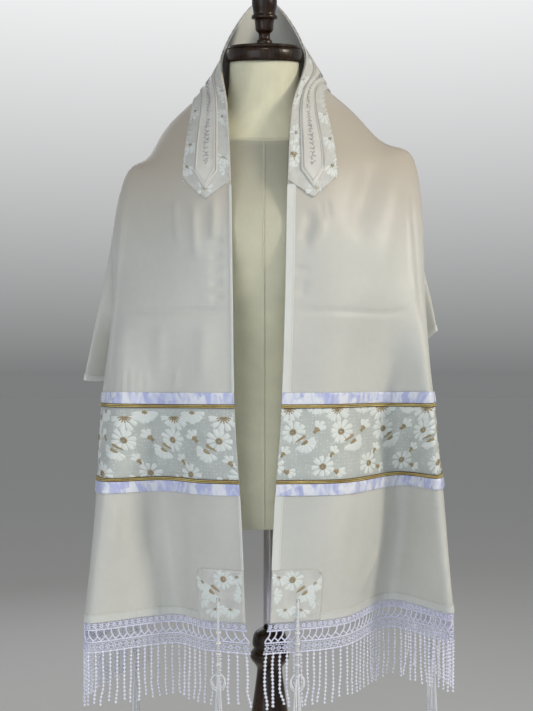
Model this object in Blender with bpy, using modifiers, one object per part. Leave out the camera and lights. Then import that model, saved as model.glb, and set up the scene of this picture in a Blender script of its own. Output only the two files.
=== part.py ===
"""Tallit prayer shawl draped over a limbless dress form on a turned wooden stand.

Metres, +Z up, front towards -Y, origin at the centre of the stand's underside. The wearer's left is +X.
A point of the shawl is named by two lengths of cloth: s runs along the long side, 0 at the centre back and
positive on the wearer's left, and w runs across the cloth from the neck edge to the outer rim.
"""

import bisect
import math
from typing import NamedTuple

import bmesh
import bpy
import numpy as np
from mathutils import Euler, Vector
from mathutils.bvhtree import BVHTree

# Cloth sizes
HALF_LENGTH = 0.960
CLOTH_WIDTH = 0.500
HEM_HEIGHT = 0.638
CLOTH_WALL = 0.0016
TRIM_WALL = 0.0010
SEAM_GAP = 0.0003
TRIM_GAP = 0.0005

# Bands across each end, from the body towards the hem
SATIN_WIDTH = 0.016
GOLD_WIDTH = 0.0055
FLORAL_WIDTH = 0.098
BAND_TOP = 0.645

# Neckband, corner patches, lace, fringe and corner tassels
NECKBAND_WIDTH = 0.072
NECKBAND_SHOULDER = 0.366
NECKBAND_TIP = 0.391
STRIP_SHOULDER = 0.354
STRIP_TIP = 0.379
STRIP_RISE = 0.0003
STRIP_TIP_RISE = 0.0012
PATCH_SIDE = 0.072
LACE_HEIGHT = 0.043
LACE_WALL = 0.0012
LACE_REPEATS = 44
LACE_BAR = 0.0028
LACE_WINDOW = (0.0125, 0.0255)
FRINGE_STRIP = 0.003
FRINGE_LENGTH = 0.070
STRANDS_PER_END = 56
STRAND_WIDTH = 0.0024
TASSEL_INSET = 0.038
TASSEL_HEAD_RADIUS = 0.0026
TASSEL_HEAD_TOP = 0.030
TASSEL_HEAD_LENGTH = 0.105
TASSEL_STRAND_LENGTH = 0.175
TASSEL_STRANDS = 8

# Dress form and stand
FORM_SHIFT = -0.008
FORM_BOTTOM = 0.760
NECK_TOP = 1.445
NECK_TILT = math.radians(12)
FORM_SEGMENTS = 24
CAP_HEIGHT = 0.0235
POLE_RADIUS = 0.0095
COLUMN_TOP = 0.598

# Rows and columns of the shawl's faceted surface
COLUMN_SHARES = {
    "neckband": (0.0, 0.25, 0.5, 0.75),
    "chest": (0.0, 0.34, 0.68),
    "lap": (0.0, 0.3, 0.6, 0.86),
    "return": (0.0, 0.14, 0.34, 0.66),
    "patch": (0.0, 0.33, 0.66, 1.0),
}
BACK_ROWS = (0.0, 0.03, 0.06, 0.09, 0.12, 0.15, 0.18, 0.21, 0.24, 0.27, 0.30, 0.33)
CHEST_ROWS = (0.42, 0.46, 0.50, 0.55, 0.60)
FLORAL_ROWS = 2
HEM_ROWS = 2


class Section(NamedTuple):
    """One section across the cloth: where its neck edge, folds and rim lie, in metres."""

    s: float
    edge: tuple
    chest: tuple
    valley: tuple
    fold: tuple
    turn: tuple
    rim: tuple


def level(s, edge, chest, valley, fold, turn, rim):
    """A section that hangs level: the cloth below the chest falls straight, so its height follows s."""
    height = HEM_HEIGHT + HALF_LENGTH - abs(s)
    return Section(s, *[(x, y, height) for x, y in (edge, chest, valley, fold, turn, rim)])


SECTIONS = (
    level(-0.960, (-0.025, -0.142), (-0.078, -0.122), (-0.130, -0.080), (-0.241, -0.138), (-0.236, -0.030), (-0.176, 0.085)),
    level(-0.800, (-0.032, -0.142), (-0.086, -0.124), (-0.146, -0.074), (-0.225, -0.114), (-0.235, -0.010), (-0.150, 0.130)),
    Section(-0.650, (-0.041, -0.142, 0.948), (-0.090, -0.133, 0.948), (-0.142, -0.110, 0.948),
            (-0.212, -0.094, 0.948), (-0.234, 0.010, 0.946), (-0.120, 0.150, 0.942)),
    Section(-0.500, (-0.043, -0.141, 1.098), (-0.090, -0.132, 1.098), (-0.146, -0.110, 1.098),
            (-0.209, -0.066, 1.103), (-0.222, -0.002, 1.050), (-0.188, 0.094, 0.965)),
    Section(-0.360, (-0.046, -0.124, 1.252), (-0.098, -0.108, 1.256), (-0.152, -0.066, 1.266),
            (-0.205, -0.006, 1.277), (-0.234, 0.006, 1.150), (-0.273, 0.020, 0.970)),
    Section(-0.240, (-0.052, -0.075, 1.360), (-0.102, -0.030, 1.372), (-0.155, 0.025, 1.340),
            (-0.182, 0.084, 1.240), (-0.196, 0.104, 1.130), (-0.204, 0.114, 0.980)),
    Section(-0.120, (-0.060, 0.000, 1.462), (-0.070, 0.030, 1.430), (-0.096, 0.080, 1.335),
            (-0.104, 0.112, 1.218), (-0.106, 0.124, 1.110), (-0.106, 0.130, 0.980)),
    Section(0.000, (0.000, 0.045, 1.557), (0.000, 0.060, 1.500), (0.000, 0.088, 1.390),
            (0.000, 0.114, 1.270), (0.000, 0.126, 1.165), (0.000, 0.132, 1.030)),
    Section(0.120, (0.060, 0.000, 1.462), (0.082, 0.030, 1.430), (0.098, 0.078, 1.340),
            (0.106, 0.110, 1.225), (0.108, 0.122, 1.118), (0.108, 0.128, 0.990)),
    Section(0.240, (0.039, -0.075, 1.360), (0.088, -0.030, 1.388), (0.148, 0.030, 1.362),
            (0.190, 0.082, 1.262), (0.200, 0.100, 1.150), (0.206, 0.108, 1.010)),
    Section(0.360, (0.033, -0.124, 1.252), (0.098, -0.108, 1.262), (0.162, -0.064, 1.282),
            (0.221, -0.010, 1.298), (0.236, 0.022, 1.175), (0.262, 0.026, 1.045)),
    Section(0.500, (0.030, -0.141, 1.098), (0.098, -0.128, 1.098), (0.172, -0.092, 1.098),
            (0.229, -0.050, 1.106), (0.233, 0.010, 1.060), (0.200, 0.088, 0.984)),
    Section(0.650, (0.025, -0.142, 0.948), (0.098, -0.124, 0.948), (0.184, -0.040, 0.948),
            (0.238, -0.072, 0.948), (0.240, 0.026, 0.948), (0.170, 0.132, 0.946)),
    level(0.800, (0.015, -0.142), (0.112, -0.122), (0.204, 0.006), (0.252, -0.064), (0.262, 0.044), (0.196, 0.120)),
    level(0.960, (0.008, -0.142), (0.108, -0.104), (0.190, 0.018), (0.266, -0.080), (0.264, 0.010), (0.222, 0.090)),
)


class SoftFold(NamedTuple):
    """A fold that runs from the shoulders down to the rim: its place, half width, depth and first width of cloth."""

    s: float
    half_width: float
    depth: float
    start: float


SOFT_FOLDS = (
    SoftFold(-0.215, 0.036, 0.020, 0.16),
    SoftFold(-0.150, 0.030, -0.012, 0.14),
    SoftFold(-0.085, 0.034, 0.020, 0.12),
    SoftFold(-0.020, 0.030, -0.010, 0.16),
    SoftFold(0.050, 0.036, 0.018, 0.12),
    SoftFold(0.120, 0.030, -0.010, 0.14),
    SoftFold(0.185, 0.034, 0.022, 0.14),
    SoftFold(0.250, 0.030, -0.010, 0.18),
)


class Ring(NamedTuple):
    """One level of the dress form: its height, half width, depth in front, depth behind and forward tilt."""

    height: float
    half_width: float
    front: float
    back: float
    tilt: float = 0.0


FORM_RINGS = (
    Ring(0.760, 0.160, 0.104, 0.108),
    Ring(0.772, 0.164, 0.107, 0.112),
    Ring(0.815, 0.166, 0.110, 0.116),
    Ring(0.870, 0.160, 0.106, 0.110),
    Ring(0.930, 0.139, 0.096, 0.094),
    Ring(0.985, 0.122, 0.089, 0.080),
    Ring(1.040, 0.126, 0.096, 0.082),
    Ring(1.100, 0.140, 0.120, 0.090),
    Ring(1.150, 0.151, 0.134, 0.096),
    Ring(1.190, 0.162, 0.1352, 0.100),
    Ring(1.225, 0.176, 0.122, 0.102),
    Ring(1.252, 0.184, 0.107, 0.102),
    Ring(1.276, 0.184, 0.094, 0.099),
    Ring(1.295, 0.170, 0.082, 0.093),
    Ring(1.311, 0.142, 0.072, 0.087),
    Ring(1.331, 0.112, 0.064, 0.079),
    Ring(1.352, 0.083, 0.059, 0.070),
    Ring(1.372, 0.064, 0.055, 0.063, 0.25),
    Ring(1.400, 0.0555, 0.0525, 0.0555, 0.6),
    Ring(NECK_TOP, 0.0530, 0.0515, 0.0515, 1.0),
)
FORM_SQUARENESS = 2.15

# Turned profiles, as (radius, height) from top to bottom
CAP_PROFILE = ((0.0522, 0.0235), (0.0542, 0.0220), (0.0540, 0.0196), (0.0528, 0.0186), (0.0560, 0.0168),
               (0.0572, 0.0110), (0.0568, 0.0030), (0.0550, 0.0))
FINIAL_PROFILE = ((0.0045, 0.1040), (0.0090, 0.1015), (0.0118, 0.0950), (0.0112, 0.0880), (0.0080, 0.0830),
                  (0.0128, 0.0790), (0.0180, 0.0690), (0.0187, 0.0580), (0.0166, 0.0455), (0.0192, 0.0430),
                  (0.0190, 0.0390), (0.0146, 0.0370), (0.0129, 0.0225), (0.0090, 0.0180), (0.0086, 0.0110),
                  (0.0115, 0.0070), (0.0118, 0.0))
COLUMN_PROFILE = ((0.0130, 0.5980), (0.0225, 0.5910), (0.0256, 0.5800), (0.0256, 0.5720), (0.0232, 0.5690),
                  (0.0286, 0.5610), (0.0284, 0.5530), (0.0205, 0.5420), (0.0190, 0.5340), (0.0236, 0.4980),
                  (0.0300, 0.4500), (0.0325, 0.3900), (0.0280, 0.3000), (0.0205, 0.2100), (0.0190, 0.1750),
                  (0.0275, 0.1660), (0.0275, 0.1540), (0.0205, 0.1450), (0.0250, 0.0900), (0.0420, 0.0303))
BASE_PROFILE = ((0.1180, 0.0300), (0.1250, 0.0270), (0.1290, 0.0225), (0.1500, 0.0195), (0.1590, 0.0140),
                (0.1600, 0.0070), (0.1570, 0.0))

COLOURS = {
    "ivory_cloth": (0.80, 0.79, 0.74, 0.45, 0.0),
    "white_satin": (0.80, 0.80, 0.90, 0.25, 0.0),
    "gold_braid": (0.55, 0.40, 0.12, 0.35, 0.8),
    "floral_jacquard": (0.78, 0.78, 0.74, 0.55, 0.0),
    "white_lace": (0.82, 0.82, 0.90, 0.60, 0.0),
    "white_yarn": (0.82, 0.82, 0.84, 0.70, 0.0),
    "cream_linen": (0.74, 0.71, 0.60, 0.75, 0.0),
    "dark_wood": (0.10, 0.055, 0.030, 0.35, 0.0),
    "steel": (0.60, 0.60, 0.60, 0.25, 1.0),
}


def clear_scene():
    for thing in list(bpy.data.objects):
        bpy.data.objects.remove(thing)


def material(name):
    """The part's material of that name, made once."""
    if name in bpy.data.materials:
        return bpy.data.materials[name]
    made = bpy.data.materials.new(name)
    made.use_nodes = True
    red, green, blue, roughness, metallic = COLOURS[name]
    shader = made.node_tree.nodes["Principled BSDF"]
    shader.inputs["Base Color"].default_value = (red, green, blue, 1.0)
    shader.inputs["Roughness"].default_value = roughness
    shader.inputs["Metallic"].default_value = metallic
    return made


def add_object(name, data, colour, parent):
    made = bpy.data.objects.new(name, data)
    made.data.materials.append(material(colour))
    parts.objects.link(made)
    made.parent = parent
    return made


def mesh_of(name, points, faces):
    mesh = bpy.data.meshes.new(name)
    mesh.from_pydata([tuple(p) for p in points], [], faces)
    mesh.validate()
    return mesh


def thicken(thing, wall):
    """Gives an open sheet its wall, half on each side."""
    solidify = thing.modifiers.new("wall", "SOLIDIFY")
    solidify.thickness = wall
    solidify.offset = 0.0
    return thing


def smooth_step(x):
    x = min(1.0, max(0.0, x))
    return x * x * (3 - 2 * x)


def through(knots, values, x):
    """A smooth curve through values at rising knots, read at x, with straight ends."""
    knots = list(knots)
    i = min(max(bisect.bisect_right(knots, x) - 1, 0), len(knots) - 2)
    span = knots[i + 1] - knots[i]
    slopes = []
    for j in (i, i + 1):
        before, after = max(j - 1, 0), min(j + 1, len(knots) - 1)
        slopes.append((values[after] - values[before]) / (knots[after] - knots[before]))
    t = (x - knots[i]) / span
    if t <= 0:
        return values[i] + slopes[0] * (x - knots[i])
    if t >= 1:
        return values[i + 1] + slopes[1] * (x - knots[i + 1])
    return (
        (2 * t**3 - 3 * t**2 + 1) * values[i]
        + (t**3 - 2 * t**2 + t) * span * slopes[0]
        + (3 * t**2 - 2 * t**3) * values[i + 1]
        + (t**3 - t**2) * span * slopes[1]
    )


SECTION_PLACES = [row.s for row in SECTIONS]
SECTION_POINTS = np.array([[*row[1:]] for row in SECTIONS])
FINE_STEPS = 16


class SectionCurve:
    """The smooth line across the cloth at one s, measured along its length from the neck edge."""

    def __init__(self, s):
        guides = through(SECTION_PLACES, SECTION_POINTS, s)
        chords = np.linalg.norm(np.diff(guides, axis=0), axis=1)
        knots = np.concatenate([[0.0], np.cumsum(np.sqrt(chords))])
        steps = np.concatenate(
            [np.linspace(a, b, FINE_STEPS, endpoint=False) for a, b in zip(knots, knots[1:])] + [[knots[-1]]]
        )
        self.points = np.array([through(knots, guides, t) for t in steps])
        lengths = np.linalg.norm(np.diff(self.points, axis=0), axis=1)
        self.reach = np.concatenate([[0.0], np.cumsum(lengths)])
        self.valley = self.reach[2 * FINE_STEPS]
        self.fold = self.reach[3 * FINE_STEPS]

    def at(self, w):
        """The point at w. Behind the fold the cloth is eased so that its rim lies where the section says."""
        if w > self.fold:
            w = self.fold + (w - self.fold) * (self.reach[-1] - self.fold) / (CLOTH_WIDTH - self.fold)
        return np.array([np.interp(w, self.reach, self.points[:, k]) for k in range(3)])


curves = {}


def curve_at(s):
    key = round(s, 6)
    if key not in curves:
        curves[key] = SectionCurve(s)
    return curves[key]


NUDGE = 0.004


def plain_point(s, w):
    """A point of the shawl before its soft folds. Below the hem the cloth's line goes on straight down."""
    inside = max(-HALF_LENGTH, min(HALF_LENGTH, s))
    point = curve_at(inside).at(w)
    point[2] -= abs(s - inside)
    return point


def outward(s, w):
    """The cloth's outer side at a point, as a unit vector."""
    along = plain_point(s + NUDGE, w) - plain_point(s - NUDGE, w)
    low, high = max(w - NUDGE, 0.0), min(w + NUDGE, CLOTH_WIDTH)
    across = plain_point(s, high) - plain_point(s, low)
    normal = np.cross(along, across)
    return normal / np.linalg.norm(normal)


def cloth_point(s, w):
    """A point of the shawl's middle surface, with the soft folds of its back."""
    depth = sum(
        fold.depth
        * math.exp(-(((s - fold.s) / fold.half_width) ** 2))
        * smooth_step((w - fold.start) / (CLOTH_WIDTH - fold.start))
        for fold in SOFT_FOLDS
    )
    return plain_point(s, w) + outward(s, w) * depth


def column_widths(s):
    """How far across the cloth each column of the surface lies. The middle columns follow the valley and the fold."""
    curve = curve_at(s)
    patch = CLOTH_WIDTH - PATCH_SIDE
    valley = min(max(curve.valley, NECKBAND_WIDTH + 0.04), patch - 0.12)
    fold = min(max(curve.fold, valley + 0.05), patch - 0.03)
    stretches = {
        "neckband": (0.0, NECKBAND_WIDTH),
        "chest": (NECKBAND_WIDTH, valley),
        "lap": (valley, fold),
        "return": (fold, patch),
        "patch": (patch, CLOTH_WIDTH),
    }
    return [low + share * (high - low) for name, (low, high) in stretches.items() for share in COLUMN_SHARES[name]]


def row_places():
    """Every s at which the surface has a row, from one hem to the other."""
    half = list(BACK_ROWS) + [STRIP_SHOULDER, NECKBAND_SHOULDER, STRIP_TIP, NECKBAND_TIP] + list(CHEST_ROWS)
    half += band_edges() + seam_places()
    floral_top, floral_bottom = band_edges()[2:4]
    half += list(np.linspace(floral_top, floral_bottom, FLORAL_ROWS + 1)[1:-1])
    patch_top = HALF_LENGTH - PATCH_SIDE
    half += list(np.linspace(band_edges()[-1], patch_top, HEM_ROWS + 1)[1:])
    half += [HALF_LENGTH - PATCH_SIDE / 2, HALF_LENGTH]
    half = sorted({round(s, 6) for s in half})
    return [-s for s in reversed(half[1:])] + half


def band_edges():
    """Where each ribbon and the floral band start and end along the cloth."""
    widths = (SATIN_WIDTH, GOLD_WIDTH, FLORAL_WIDTH, GOLD_WIDTH, SATIN_WIDTH)
    return [round(BAND_TOP + sum(widths[:k]), 6) for k in range(len(widths) + 1)]


def seam_places():
    """Where the floral band is sewn to the body and to the end panel: under the middle of each gold braid."""
    edges = band_edges()
    return [round((edges[1] + edges[2]) / 2, 6), round((edges[3] + edges[4]) / 2, 6)]


class ClothGrid:
    """The shawl's faceted middle surface: its points and outward directions by row and column."""

    def __init__(self):
        self.rows = row_places()
        self.points = np.array([[cloth_point(s, w) for w in column_widths(s)] for s in self.rows])
        self.columns = self.points.shape[1]
        faces = [
            face
            for i in range(len(self.rows) - 1)
            for j in range(self.columns - 1)
            for face in self.facets(i, j, lambda i, j: i * self.columns + j)
        ]
        middle = mesh_of("middle", self.points.reshape(-1, 3), faces)
        self.normals = np.array([v.normal for v in middle.vertices]).reshape(self.points.shape)
        bpy.data.meshes.remove(middle)

    def facets(self, i, j, number):
        """The two triangles between rows i, i + 1 and columns j, j + 1. The cut follows the neckband's points."""
        a, b, c, d = number(i, j), number(i + 1, j), number(i + 1, j + 1), number(i, j + 1)
        wearer_left = self.rows[i] >= 0
        if wearer_left == (j < 2 or j > 3):
            return [(a, b, c), (a, c, d)]
        return [(a, b, d), (b, c, d)]

    def row(self, s):
        return min(range(len(self.rows)), key=lambda i: abs(self.rows[i] - s))

    def lifted(self, i, j, lift):
        return self.points[i, j] + self.normals[i, j] * lift


def grid_sheet(name, grid, rows, columns, lift, wall, colour, parent, ends=None):
    """A sheet made from the shawl's own points between two rows and two columns, moved out by lift."""
    picked = {(i, j): None for i in range(rows[0], rows[1] + 1) for j in range(columns[0], columns[1] + 1)}
    number = {key: n for n, key in enumerate(picked)}
    faces = []
    for i in range(rows[0], rows[1]):
        for j in range(columns[0], columns[1]):
            faces += grid.facets(i, j, lambda i, j: number[i, j])
    points = [grid.lifted(i, j, lift) for i, j in picked]
    for tip in ends or ():
        faces += tip(number, points)
    sheet = add_object(name, mesh_of(name, points, faces), colour, parent)
    return thicken(sheet, wall)


def lift_on(*walls):
    """How far the middle of the top wall lies above the middle of the cloth, when the walls lie on it in order."""
    lift, below = 0.0, CLOTH_WALL
    for wall in walls:
        lift += below / 2 + TRIM_GAP + wall / 2
        below = wall
    return lift


def full_width(name, grid, start, end, lift, wall, colour, parent):
    """A sheet the whole width of the cloth between two places along it, with its seams a gap apart."""
    rows = sorted((grid.row(start), grid.row(end)))
    sheet = grid_sheet(name, grid, rows, (0, grid.columns - 1), lift, wall, colour, parent)
    narrow_band(sheet, grid, rows)
    return sheet


def build_cloth(grid, parent):
    """The cloth's five lengths, sewn end to end: the body, and on each side a floral band and an end panel."""
    top, bottom = seam_places()
    full_width("tallit_body", grid, -top, top, 0.0, CLOTH_WALL, "ivory_cloth", parent)
    for side, sign in (("left", 1), ("right", -1)):
        lengths = (
            (f"floral_band_{side}", top, bottom, "floral_jacquard"),
            (f"end_panel_{side}", bottom, HALF_LENGTH, "ivory_cloth"),
        )
        for name, start, end, colour in lengths:
            full_width(name, grid, sign * start, sign * end, 0.0, CLOTH_WALL, colour, parent)


def build_ribbons(grid, parent):
    """Satin ribbon and gold braid above and below each floral band. The braid covers the seam."""
    edges = band_edges()
    kinds = (
        ("satin_upper", 0, "white_satin"),
        ("gold_upper", 1, "gold_braid"),
        ("gold_lower", 3, "gold_braid"),
        ("satin_lower", 4, "white_satin"),
    )
    for side, sign in (("left", 1), ("right", -1)):
        for kind, k, colour in kinds:
            start, end = sign * edges[k], sign * edges[k + 1]
            full_width(f"{kind}_{side}", grid, start, end, lift_on(TRIM_WALL), TRIM_WALL, colour, parent)


def narrow_band(sheet, grid, rows):
    """Draws the two long edges of a band in by half a seam gap, so that neighbours stay apart."""
    count = grid.columns
    vertices = sheet.data.vertices
    for j in range(count):
        for near, far in ((0, 1), (rows[1] - rows[0], rows[1] - rows[0] - 1)):
            edge, inner = vertices[near * count + j].co, vertices[far * count + j].co
            edge += (inner - edge).normalized() * SEAM_GAP / 2


def stepped_point(grid, side, shoulder, halfway, tip):
    """Closes the neckband's ground with a point over the cloth's own facets: two columns fewer at each row."""

    def faces(number, points):
        placed = {key: number[key] for key in number}
        for row, columns in ((halfway, (1, 2, 3)), (tip, (2,))):
            for j in columns:
                placed[row, j] = len(points)
                points.append(grid.lifted(row, j, lift_on(TRIM_WALL)))
        found = []
        for near, far, columns in ((shoulder, halfway, range(0, 4)), (halfway, tip, range(1, 3))):
            i = min(near, far)
            for j in columns:
                if {(near, j), (near, j + 1), (far, j), (far, j + 1)} <= placed.keys():
                    found += grid.facets(i, j, lambda i, j: placed[i, j])
                else:
                    inner = (far, j + 1) if j < 2 else (far, j)
                    triple = [placed[near, j], placed[inner], placed[near, j + 1]]
                    found.append(tuple(triple if side > 0 else triple[::-1]))
        return found

    return faces


def fan_point(grid, side, shoulder, tip, lift):
    """Closes the strip with a point: a fan from its last row to one point a little higher off the ground."""

    def faces(number, points):
        end = len(points)
        points.append(grid.lifted(tip, 2, lift + STRIP_TIP_RISE))
        triples = [(number[shoulder, j], end, number[shoulder, j + 1]) for j in (1, 2)]
        return [t if side > 0 else t[::-1] for t in triples]

    return faces


def build_neckband(grid, parent):
    """The neckband: a floral ground with a narrower satin strip on it, each with pointed ends."""
    lift = lift_on(TRIM_WALL)
    rows = (grid.row(-NECKBAND_SHOULDER), grid.row(NECKBAND_SHOULDER))
    ends = [
        stepped_point(
            grid, side, grid.row(side * NECKBAND_SHOULDER), grid.row(side * STRIP_TIP), grid.row(side * NECKBAND_TIP)
        )
        for side in (-1, 1)
    ]
    grid_sheet("neckband_ground", grid, rows, (0, 4), lift, TRIM_WALL, "floral_jacquard", parent, ends)
    lift = lift_on(TRIM_WALL, TRIM_WALL) + STRIP_RISE
    rows = (grid.row(-STRIP_SHOULDER), grid.row(STRIP_SHOULDER))
    ends = [fan_point(grid, side, grid.row(side * STRIP_SHOULDER), grid.row(side * STRIP_TIP), lift) for side in (-1, 1)]
    grid_sheet("neckband_strip", grid, rows, (1, 3), lift, TRIM_WALL, "white_satin", parent, ends)


def build_patches(grid, parent):
    """A square of the floral cloth on each of the four corners, and the tassel that hangs from it."""
    for side, sign in (("left", 1), ("right", -1)):
        rows = sorted((grid.row(sign * (HALF_LENGTH - PATCH_SIDE)), grid.row(sign * HALF_LENGTH)))
        for place, columns in (("inner", (0, 4)), ("outer", (grid.columns - 4, grid.columns - 1))):
            name = f"corner_patch_{side}_{place}"
            sheet = grid_sheet(name, grid, rows, columns, lift_on(TRIM_WALL), TRIM_WALL, "floral_jacquard", parent)
            inset = TASSEL_INSET if place == "inner" else CLOTH_WIDTH - TASSEL_INSET
            build_tassel(f"tzitzit_{side}_{place}", sign, inset, sheet, parent)


def hem_frame(sign, w):
    """Point of the hem line at w, and the outward direction there, level."""
    point = cloth_point(sign * HALF_LENGTH, w)
    normal = outward(sign * HALF_LENGTH, w)
    normal[2] = 0.0
    return point, normal / np.linalg.norm(normal)


def hem_chord(sign, places, w):
    """The hem line drawn straight between the given places, so that what hangs between two of them is flat."""
    k = min(max(bisect.bisect_right(places, w) - 1, 0), len(places) - 2)
    share = (w - places[k]) / (places[k + 1] - places[k])
    (a, n), (b, m) = hem_frame(sign, places[k]), hem_frame(sign, places[k + 1])
    return a + (b - a) * share, n + (m - n) * share


def build_lace(side, sign, parent):
    """The lace trim below the hem: a top and a bottom border with a ladder of windows between, cut through."""
    pitch = CLOTH_WIDTH / LACE_REPEATS
    bars = [k * pitch for k in range(LACE_REPEATS + 1)]
    lines = sorted(
        {0.0, CLOTH_WIDTH}
        | {round(bar + shift, 7) for bar in bars for shift in (-LACE_BAR / 2, LACE_BAR / 2) if 0 < bar + shift < CLOTH_WIDTH}
    )
    drops = (SEAM_GAP, *LACE_WINDOW, LACE_HEIGHT)
    points = []
    for w in lines:
        spot, _ = hem_chord(sign, bars, w)
        points += [spot - np.array([0, 0, drop]) for drop in drops]
    faces = []
    for k in range(len(lines) - 1):
        middle = (lines[k] + lines[k + 1]) / 2
        in_window = min(abs(middle - bar) for bar in bars) > LACE_BAR
        for m in range(len(drops) - 1):
            if in_window and m == 1:
                continue
            a = k * len(drops) + m
            quad = (a, a + 1, a + len(drops) + 1, a + len(drops))
            faces.append(quad if sign > 0 else quad[::-1])
    sheet = add_object(f"lace_{side}", mesh_of("lace", points, faces), "white_lace", parent)
    return thicken(sheet, LACE_WALL)


def strand_sway(k):
    """How far the end of a strand swings sideways: a slow wave over its neighbours."""
    return 0.0016 * math.sin(1.7 * k + 0.4)


def build_fringe(side, sign, parent):
    """The fringe: a narrow strip below the lace, and four-sided strands that grow out of its lower face."""
    pitch = CLOTH_WIDTH / STRANDS_PER_END
    centres = [(k + 0.5) * pitch for k in range(STRANDS_PER_END)]
    anchors = [0.0, *centres, CLOTH_WIDTH]
    half = LACE_WALL / 2
    top, bottom = LACE_HEIGHT + SEAM_GAP, LACE_HEIGHT + SEAM_GAP + FRINGE_STRIP
    mesh = bmesh.new()

    def ring(w, drop):
        spot, normal = hem_chord(sign, anchors, w)
        return [mesh.verts.new(spot + normal * out - np.array([0, 0, drop])) for out in (half, -half)]

    lines = [0.0] + [c + shift for c in centres for shift in (-STRAND_WIDTH / 2, STRAND_WIDTH / 2)] + [CLOTH_WIDTH]
    tops = [ring(w, top) for w in lines]
    lows = [ring(w, bottom) for w in lines]
    last = len(lines) - 1
    for k in range(last):
        mesh.faces.new((tops[k][0], lows[k][0], lows[k + 1][0], tops[k + 1][0]))
        mesh.faces.new((tops[k][1], tops[k + 1][1], lows[k + 1][1], lows[k][1]))
        mesh.faces.new((tops[k][0], tops[k + 1][0], tops[k + 1][1], tops[k][1]))
        if k % 2 == 0:
            mesh.faces.new((lows[k][0], lows[k][1], lows[k + 1][1], lows[k + 1][0]))
    for k, flip in ((0, False), (last, True)):
        end = (tops[k][0], tops[k][1], lows[k][1], lows[k][0])
        mesh.faces.new(end[::-1] if flip else end)
    for n, centre in enumerate(centres):
        above = [*lows[2 * n + 1], *lows[2 * n + 2][::-1]]
        middle = centre + strand_sway(n)
        drop = bottom + FRINGE_LENGTH * (0.97 + 0.03 * math.cos(2.3 * n))
        near, far = ring(middle - STRAND_WIDTH / 2, drop), ring(middle + STRAND_WIDTH / 2, drop)
        below = [*near, *far[::-1]]
        for c in range(4):
            d = (c + 1) % 4
            mesh.faces.new((above[c], above[d], below[d], below[c]))
        mesh.faces.new(below)
    bmesh.ops.recalc_face_normals(mesh, faces=mesh.faces)
    data = bpy.data.meshes.new(f"fringe_{side}")
    mesh.to_mesh(data)
    mesh.free()
    return add_object(f"fringe_{side}", data, "white_lace", parent)


def build_tassel(name, sign, w, patch, parent):
    """A corner tassel: a wound head that hangs against the patch and the lace, with eight strands below it."""
    spot, normal = hem_frame(sign, w)
    side = np.cross(normal, (0, 0, 1))
    head = spot + normal * lift_on(TRIM_WALL, 2 * TASSEL_HEAD_RADIUS)
    surface = BVHTree.FromPolygons([v.co for v in patch.data.vertices], [p.vertices for p in patch.data.polygons])
    for _ in range(3):
        rises = np.linspace(0.0, TASSEL_HEAD_TOP, 7)
        nearest = min(surface.find_nearest(Vector(head + np.array([0, 0, rise])))[3] for rise in rises)
        head = head - normal * (nearest - TRIM_WALL / 2 - TASSEL_HEAD_RADIUS - SEAM_GAP)
    top = head[2] + TASSEL_HEAD_TOP
    low = top - TASSEL_HEAD_LENGTH
    mesh = bmesh.new()
    corners = TASSEL_STRANDS

    def ring(radius, height, middle=(0.0, 0.0)):
        found = []
        for k in range(corners):
            angle = 2 * math.pi * (k + 0.5) / corners
            x = middle[0] + radius * math.cos(angle)
            y = middle[1] + radius * math.sin(angle)
            found.append(mesh.verts.new((*(head + side * x + normal * y)[:2], height)))
        return found

    knots = ((0.95, 0.0), (1.0, 0.12), (0.85, 0.35), (1.0, 0.5), (0.85, 0.7), (1.0, 0.9), (0.9, 1.0))
    rings = [ring(TASSEL_HEAD_RADIUS * swell, top - share * TASSEL_HEAD_LENGTH) for swell, share in knots]
    mesh.faces.new(rings[0])
    for upper, lower in zip(rings, rings[1:]):
        for k in range(corners):
            m = (k + 1) % corners
            mesh.faces.new((upper[k], upper[m], lower[m], lower[k]))
    centre = mesh.verts.new((*head[:2], low))
    root = rings[-1]
    for k in range(corners):
        m = (k + 1) % corners
        angle = 2 * math.pi * (k + 1.0) / corners
        spread = TASSEL_HEAD_RADIUS * 2.6
        above = [root[k], root[m], centre]
        mid_x, mid_y = spread * math.cos(angle), 0.55 * spread * math.sin(angle)
        length = TASSEL_STRAND_LENGTH * (0.92 + 0.08 * math.cos(3.0 * k))
        for share in (0.35, 1.0):
            height = low - share * length
            below = []
            for c in range(3):
                turn = angle + math.pi / 3 * (2 * c - 1)
                x = mid_x + 0.0008 * math.cos(turn)
                y = mid_y + 0.0008 * math.sin(turn)
                below.append(mesh.verts.new((*(head + side * x + normal * y)[:2], height)))
            for c in range(3):
                d = (c + 1) % 3
                mesh.faces.new((above[c], above[d], below[d], below[c]))
            above = below
        mesh.faces.new(above)
    bmesh.ops.recalc_face_normals(mesh, faces=mesh.faces)
    data = bpy.data.meshes.new(name)
    mesh.to_mesh(data)
    mesh.free()
    return add_object(name, data, "white_yarn", parent)


def form_ring(ring):
    """The points of one level of the dress form, rounder at the neck than at the hips."""
    points = []
    for k in range(FORM_SEGMENTS):
        angle = 2 * math.pi * k / FORM_SEGMENTS
        c, s = math.cos(angle), math.sin(angle)
        power = 2 / FORM_SQUARENESS
        x = ring.half_width * math.copysign(abs(c) ** power, c)
        y = (ring.front if s < 0 else ring.back) * math.copysign(abs(s) ** power, s)
        points.append((x, y, ring.height + y * math.tan(NECK_TILT * ring.tilt)))
    return points


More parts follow.
